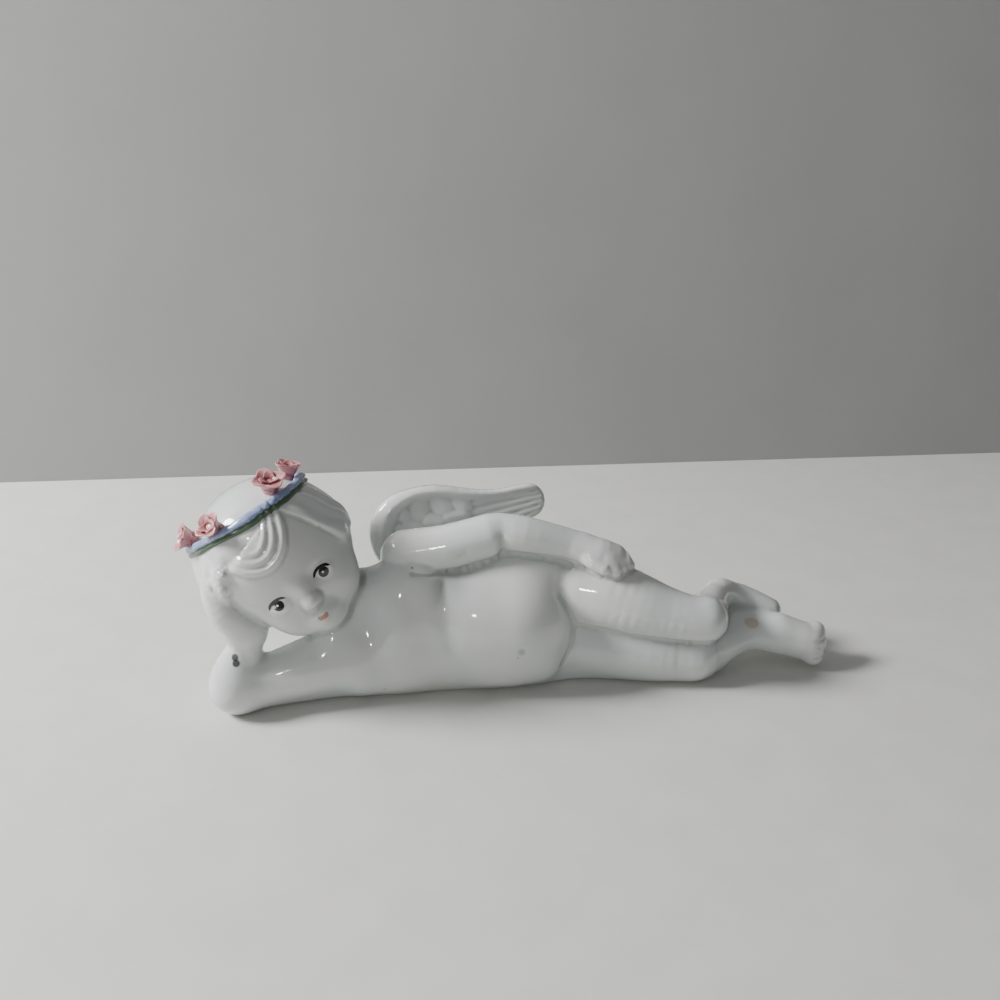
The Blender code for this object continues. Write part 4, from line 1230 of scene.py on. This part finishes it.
    def spots(self) -> list[Spot]:
        """Kiln marks and stains."""
        black, amber = self.speck_black, self.stain_amber
        return [Spot((-96.9, -19.2, 21.9), 1.3, black, 0.9),
                Spot((-96.5, -19.4, 20.0), 1.2, black, 0.9),
                Spot((-96.4, -18.2, 23.6), 0.3, black, 0.5),
                Spot((-40.9, -5.6, 43.8), 0.5, black, 0.8),
                Spot((-8.0, -20.4, 17.3), 0.5, black, 0.9),
                Spot((74.9, -3.7, 17.6), 2.6, amber, 0.4),
                Spot((-51.1, -16.4, 5.4), 0.7, amber, 0.4)]


@dataclass
class RibbonGlaze(Finish):
    """Blue glaze on the strip and green on its edge, with a ragged meeting line."""

    name: str = "blue_green_ribbon_glaze"
    blue: Colour = (0.235, 0.300, 0.500, 1.0)
    pale_blue: Colour = (0.36, 0.42, 0.60, 1.0)
    green: Colour = (0.075, 0.125, 0.075, 1.0)
    step_shade: Colour = (0.03, 0.04, 0.05, 1.0)

    def build(self) -> bpy.types.Material:
        """Make the glaze and return its material."""
        self.start()
        desk, shader = self.desk, self.shader
        cloud = desk.noise(self.place, 420.0, 3.0)
        colour = desk.mix(desk.fade(cloud, 0.4, 0.7), self.blue, self.pale_blue)
        across = desk.add("ShaderNodeAttribute", attribute_name="across").outputs["Fac"]
        ragged = desk.math("MULTIPLY_ADD", desk.noise(self.place, 900.0, 2.0), 0.3, across)
        colour = desk.mix(desk.fade(ragged, 0.62, 0.7), colour, self.green)
        line = desk.math("ABSOLUTE", desk.math("SUBTRACT", ragged, 0.66))
        colour = desk.mix(desk.math("MULTIPLY", desk.fade(line, 0.09, 0.02), 0.8),
                          colour, self.step_shade)
        desk.feed(shader.inputs["Base Color"], colour)
        self.gloss(cloud, 0.12, 0.1)
        self.bump(desk.noise(self.place, 700.0, 3.0), 0.0002, 0.5)
        return self.material


@dataclass
class RoseGlaze(Finish):
    """Dusty pink glaze, thin and pale where it ran off the petals' edges, with painted shade in the
    hollows between them.
    """

    name: str = "dusty_rose_glaze"
    pink: Colour = (0.50, 0.185, 0.20, 1.0)
    pale: Colour = (0.64, 0.33, 0.335, 1.0)
    petal_shade: Colour = (0.30, 0.085, 0.095, 1.0)

    def build(self) -> bpy.types.Material:
        """Make the glaze and return its material."""
        self.start()
        desk, shader = self.desk, self.shader
        cloud = desk.noise(self.place, 300.0, 3.0)
        colour = desk.mix(desk.fade(cloud, 0.35, 0.7), self.pink, self.pale)
        hollow = desk.add("ShaderNodeAttribute", attribute_name="hollow").outputs["Fac"]
        # Painted shade: the pink darkens in the hollows between the petals.
        colour = desk.mix(desk.fade(hollow, 0.05, 0.8), colour, self.petal_shade)
        colour = desk.mix(desk.math("MULTIPLY", desk.fade(hollow, -0.1, -0.9), 0.6),
                          colour, self.pale)
        desk.feed(shader.inputs["Base Color"], colour)
        self.gloss(cloud, 0.15, 0.16)
        self.bump(desk.noise(self.place, 900.0, 3.0), 0.00015, 0.5)
        return self.material


@dataclass
class PetalTree:
    """Geometry Nodes tree that sets cupped clay petals round a bud."""

    name: str = "clay_petals"
    wobble: float = 0.28
    fineness: int = 5

    def build(self, glaze: bpy.types.Material) -> bpy.types.NodeTree:
        """Make the tree.

        Args:
            glaze: Material that the petals take.

        Returns:
            The tree, with named inputs for its sizes.
        """
        tree = bpy.data.node_groups.new(self.name, "GeometryNodeTree")
        face = tree.interface
        for label, kind, value in (("Petals", "NodeSocketInt", 5),
                                   ("Petal width", "NodeSocketFloat", 2.6),
                                   ("Petal height", "NodeSocketFloat", 2.8),
                                   ("Thickness", "NodeSocketFloat", 0.6),
                                   ("Cupping", "NodeSocketFloat", 0.16),
                                   ("Opening", "NodeSocketFloat", 0.55),
                                   ("Reach", "NodeSocketFloat", 1.5),
                                   ("First bearing", "NodeSocketFloat", 0.0),
                                   ("Seed", "NodeSocketInt", 1)):
            socket = face.new_socket(label, in_out="INPUT", socket_type=kind)
            socket.default_value = value
        face.new_socket("Geometry", in_out="OUTPUT", socket_type="NodeSocketGeometry")
        desk = TreeDesk(tree)
        sizes = desk.add("NodeGroupInput").outputs
        ball = desk.add("GeometryNodeMeshIcoSphere")
        ball.inputs["Radius"].default_value = 1.0
        ball.inputs["Subdivisions"].default_value = self.fineness
        place = desk.add("ShaderNodeSeparateXYZ")
        desk.feed(place.inputs[0], desk.add("GeometryNodeInputPosition").outputs[0])
        across = desk.math("MULTIPLY", place.outputs["Y"], sizes["Petal width"])
        up = desk.math("MULTIPLY", place.outputs["Z"], sizes["Petal height"])
        thick = desk.math("MULTIPLY", place.outputs["X"], sizes["Thickness"])
        cup = desk.math("MULTIPLY", desk.math("MULTIPLY", across, across), sizes["Cupping"])
        curl = desk.math("MULTIPLY", desk.math("MULTIPLY", up, up), -0.5)
        curl = desk.math("MULTIPLY", curl, sizes["Cupping"])
        shaped = desk.add("ShaderNodeCombineXYZ")
        depth = desk.math("SUBTRACT", desk.math("SUBTRACT", thick, cup), curl)
        desk.feed(shaped.inputs["X"], depth)
        desk.feed(shaped.inputs["Y"], across)
        desk.feed(shaped.inputs["Z"], up)
        petal = desk.add("GeometryNodeSetPosition")
        desk.feed(petal.inputs["Geometry"], ball.outputs["Mesh"])
        desk.feed(petal.inputs["Position"], shaped.outputs["Vector"])
        spots = desk.add("GeometryNodeMeshLine", mode="OFFSET")
        desk.feed(spots.inputs["Count"], sizes["Petals"])
        spots.inputs["Offset"].default_value = (0.0, 0.0, 0.0)
        index = desk.add("GeometryNodeInputIndex").outputs[0]
        step = desk.math("DIVIDE", 2.0 * math.pi, sizes["Petals"])
        bearing = desk.math("MULTIPLY_ADD", index, step, sizes["First bearing"])
        wobble = desk.add("FunctionNodeRandomValue", data_type="FLOAT")
        wobble.inputs[2].default_value = -self.wobble
        wobble.inputs[3].default_value = self.wobble
        desk.feed(wobble.inputs["ID"], index)
        desk.feed(wobble.inputs["Seed"], sizes["Seed"])
        bearing = desk.math("ADD", bearing, wobble.outputs[1])
        moved = desk.add("GeometryNodeSetPosition")
        desk.feed(moved.inputs["Geometry"], spots.outputs["Mesh"])
        spot = desk.add("ShaderNodeCombineXYZ")
        for axis, wave in (("X", "COSINE"), ("Y", "SINE")):
            aside = desk.math("MULTIPLY", desk.math(wave, bearing), sizes["Reach"])
            desk.feed(spot.inputs[axis], aside)
        desk.feed(spot.inputs["Z"], desk.math("MULTIPLY", sizes["Petal height"], 0.75))
        desk.feed(moved.inputs["Position"], spot.outputs["Vector"])
        turned = desk.add("ShaderNodeCombineXYZ")
        lean = desk.math("MULTIPLY_ADD", wobble.outputs[1], 0.7, sizes["Opening"])
        desk.feed(turned.inputs["Y"], lean)
        desk.feed(turned.inputs["Z"], bearing)
        copies = desk.add("GeometryNodeInstanceOnPoints")
        desk.feed(copies.inputs["Points"], moved.outputs["Geometry"])
        desk.feed(copies.inputs["Instance"], petal.outputs["Geometry"])
        desk.feed(copies.inputs["Rotation"], turned.outputs["Vector"])
        size = desk.math("MULTIPLY_ADD", wobble.outputs[1], 0.5, 1.0)
        desk.feed(copies.inputs["Scale"], size)
        whole = desk.add("GeometryNodeRealizeInstances")
        desk.feed(whole.inputs["Geometry"], copies.outputs["Instances"])
        dressed = desk.add("GeometryNodeSetMaterial")
        desk.feed(dressed.inputs["Geometry"], whole.outputs["Geometry"])
        dressed.inputs["Material"].default_value = glaze
        desk.feed(desk.add("NodeGroupOutput").inputs["Geometry"], dressed.outputs["Geometry"])
        return tree


@dataclass(frozen=True)
class Ring:
    """Ring of petals, in shares of the rose's half diameter and of its height."""

    petals: int
    width: float
    height: float
    thickness: float
    cupping: float
    opening: float
    reach: float
    turn: float
    seed: int


OUTER_RING = Ring(4, 0.60, 0.50, 0.13, 0.16, 0.62, 0.44, 0.0, 0)
INNER_RING = Ring(3, 0.40, 0.46, 0.12, 0.34, 0.12, 0.2, 0.7, 7)


@dataclass
class ClayRose:
    """Hand-made rose: an inner ring of upright petals in an outer ring of open ones.

    Its bearing is from the face, in degrees. It sits above the ribbon by a share of its
    diameter, and its spin turns the petals.
    """

    number: int
    bearing: float
    share: float
    spin: float
    diameter: float = 10.2
    height: float = 7.2
    core_share: float = 0.5
    core_height: float = 0.42
    core_rise: float = 0.12
    voxel: float = 0.2
    smoothing_rounds: int = 3

    @property
    def name(self) -> str:
        """Name of the piece."""
        return f"clay_rose_{self.number}"

    def axes(self, place: Points) -> np.ndarray:
        """Columns across, along and outward of a rose pressed on at a place."""
        outward = gradient(HEAD.field, place[None, :], 0.6)[1][0]
        across = np.cross(HEAD.axes()[:, 2], outward)
        across = across / np.linalg.norm(across)
        return np.stack((across, np.cross(outward, across), outward), 1)

    def petals(self, tree: bpy.types.NodeTree, ring: Ring) -> bpy.types.Mesh:
        """Mesh of one ring of petals.

        Args:
            tree: The Geometry Nodes tree.
            ring: Sizes of the ring.

        Returns:
            A plain mesh.
        """
        half = 0.5 * self.diameter
        sizes = {"Petals": ring.petals,
                 "Petal width": ring.width * half,
                 "Petal height": ring.height * self.height,
                 "Thickness": ring.thickness * half,
                 "Cupping": ring.cupping,
                 "Opening": ring.opening,
                 "Reach": ring.reach * half,
                 "First bearing": self.spin + ring.turn,
                 "Seed": self.number + ring.seed}
        seed = added("petal_ring", bpy.data.meshes.new("petal_ring"))
        nodes = seed.modifiers.new("Petals", "NODES")
        nodes.node_group = tree
        sockets = {item.name: item.identifier for item in tree.interface.items_tree}
        for label, value in sizes.items():
            nodes[sockets[label]] = value
        graph = bpy.context.evaluated_depsgraph_get()
        mesh = bpy.data.meshes.new_from_object(seed.evaluated_get(graph))
        bpy.data.objects.remove(seed, do_unlink=True)
        return mesh

    def build(self, casting: CherubCasting, garland: Garland, tree: bpy.types.NodeTree,
              glaze: bpy.types.Material) -> bpy.types.Object:
        """Make the rose and press it on beside the ribbon.

        Args:
            casting: The casting that it sits on.
            garland: The ribbon that it sits beside.
            tree: The Geometry Nodes tree of its petals.
            glaze: Material of the rose.

        Returns:
            The finished piece.
        """
        model = bmesh.new()
        for ring in (OUTER_RING, INNER_RING):
            model.from_mesh(self.petals(tree, ring))
        core = bmesh.ops.create_icosphere(model, subdivisions=4, radius=1.0)["verts"]
        wide = 0.5 * self.core_share * self.diameter
        for vertex in core:
            up = self.core_height * vertex.co.z + self.core_rise
            vertex.co = Vector((wide * vertex.co.x, wide * vertex.co.y, up * self.height))
        mesh = bpy.data.meshes.new(self.name)
        model.to_mesh(mesh)
        model.free()
        piece = added(self.name, mesh)
        evenly_skinned(piece, self.voxel)
        mesh = piece.data
        around = Neighbours(mesh)
        places = around.relaxed(vertices_of(mesh), np.ones(len(mesh.vertices)),
                                self.smoothing_rounds)
        put_vertices(mesh, places)
        casting.mark_hollows(mesh, around, places)
        seat = garland.seat(np.array((math.radians(self.bearing),)), self.share * self.diameter)[0]
        put_vertices(mesh, casting.to_metres(seat + places @ self.axes(seat).T))
        finished(piece, f"rose_{self.number}", glaze)
        return piece


@dataclass(frozen=True)
class Lamp:
    """Round area light, in metres and watts."""

    name: str
    place: Station
    aim: Station
    size: float
    power: float

    def light(self) -> None:
        """Add the light to the scene."""
        lamp = bpy.data.lights.new(self.name, "AREA")
        lamp.shape = "DISK"
        lamp.size = self.size
        lamp.energy = self.power
        item = bpy.data.objects.new(self.name, lamp)
        item.location = self.place
        facing = Vector(self.aim) - Vector(self.place)
        item.rotation_euler = facing.to_track_quat("-Z", "Y").to_euler()
        bpy.context.scene.collection.objects.link(item)


@dataclass
class Studio:
    """Pale table, plain backdrop, soft light and the camera."""

    camera_place: Station = (-35.40, -266.93, 173.0)
    camera_forward: Station = (0.0807, 0.923, -0.376)
    lens: float = 32.4
    backdrop_distance: float = 0.200
    stage_side: float = 2.5
    stage_near: float = -2.0
    stage_top: float = 2.5
    room_colour: Colour = (0.96, 0.98, 1.0, 1.0)
    room_facing: Station = (-0.62, -0.62, 0.48)
    room_strength: float = 0.26
    room_floor: float = 0.025
    lamps: tuple[Lamp, ...] = (Lamp("soft_window", (-0.82, 0.02, 0.58), (0.0, 0.0, 0.02), 0.30, 18.5),
                               Lamp("bright_lamp", (-0.38, -1.02, 0.66), (0.0, 0.0, 0.04), 0.055, 1.6))

    def plain(self, name: str, colour: Colour, roughness: float, grain: float) -> bpy.types.Material:
        """Matt paper-like material with a faint grain."""
        finish = Finish(name)
        finish.start()
        cloud = finish.desk.noise(finish.place, grain, 4.0)
        shade = tuple(0.95 * channel for channel in colour[:3]) + (1.0,)
        finish.desk.feed(finish.shader.inputs["Base Color"],
                         finish.desk.mix(finish.desk.fade(cloud, 0.3, 0.7), colour, shade))
        finish.shader.inputs["Roughness"].default_value = roughness
        return finish.material

    def sheet(self, name: str, corners: list[Station], material: bpy.types.Material) -> None:
        """Flat stage piece through four corners."""
        mesh = bpy.data.meshes.new(name)
        mesh.from_pydata(corners, [], [(0, 1, 2, 3)])
        mesh.materials.append(material)
        added(name, mesh)

    def room(self) -> None:
        """Light the scene from all round, more from the front, the left and above."""
        world = bpy.data.worlds.new("soft_room")
        world.use_nodes = True
        desk = TreeDesk(world.node_tree)
        direction = desk.add("ShaderNodeTexCoord").outputs["Generated"]
        facing = desk.fade(desk.vector("DOT_PRODUCT", direction, self.room_facing), -0.3, 1.0)
        back = world.node_tree.nodes["Background"]
        desk.feed(back.inputs["Strength"],
                  desk.math("MULTIPLY_ADD", facing, self.room_strength, self.room_floor))
        back.inputs["Color"].default_value = self.room_colour
        bpy.context.scene.world = world

    def build(self, casting: CherubCasting) -> None:
        """Set up the stage, the lights and the camera round the casting."""
        back = self.backdrop_distance
        floor = self.plain("pale_table", (0.66, 0.655, 0.62, 1.0), 0.6, 60.0)
        wall = self.plain("grey_backdrop", (0.33, 0.33, 0.33, 1.0), 0.8, 12.0)
        side, near, top = self.stage_side, self.stage_near, self.stage_top
        self.sheet("table", [(-side, near, 0.0), (side, near, 0.0),
                             (side, back, 0.0), (-side, back, 0.0)], floor)
        self.sheet("backdrop", [(-side, back, 0.0), (side, back, 0.0),
                                (side, back, top), (-side, back, top)], wall)
        for lamp in self.lamps:
            lamp.light()
        self.room()
        view = bpy.data.cameras.new("view")
        view.lens = self.lens
        view.sensor_width = 36.0
        camera = bpy.data.objects.new("view", view)
        camera.location = casting.to_metres(np.array((self.camera_place,)))[0]
        camera.rotation_euler = Vector(self.camera_forward).to_track_quat("-Z", "Y").to_euler()
        bpy.context.scene.collection.objects.link(camera)
        bpy.context.scene.camera = camera


ROSES = (ClayRose(1, -25.0, 0.22, 0.44),
         ClayRose(2, -74.0, 0.26, 0.71),
         ClayRose(3, 46.0, 0.36, 3.80),
         ClayRose(4, 79.0, 0.36, 5.47))


def main() -> None:
    """Build the pieces in order and set up the studio."""
    logging.basicConfig(level=logging.INFO, format="%(name)s: %(message)s")
    garland = Garland()
    casting = CherubCasting()
    casting.find_middle(garland)
    LOG.info("figure middle at %s", np.round(casting.middle, 2))
    casting.build(PaintedWhiteGlaze().build(casting))
    garland.build(casting, RibbonGlaze().build())
    rose_glaze = RoseGlaze().build()
    tree = PetalTree().build(rose_glaze)
    for rose in ROSES:
        rose.build(casting, garland, tree, rose_glaze)
    Studio().build(casting)


if __name__ == "__main__":
    main()
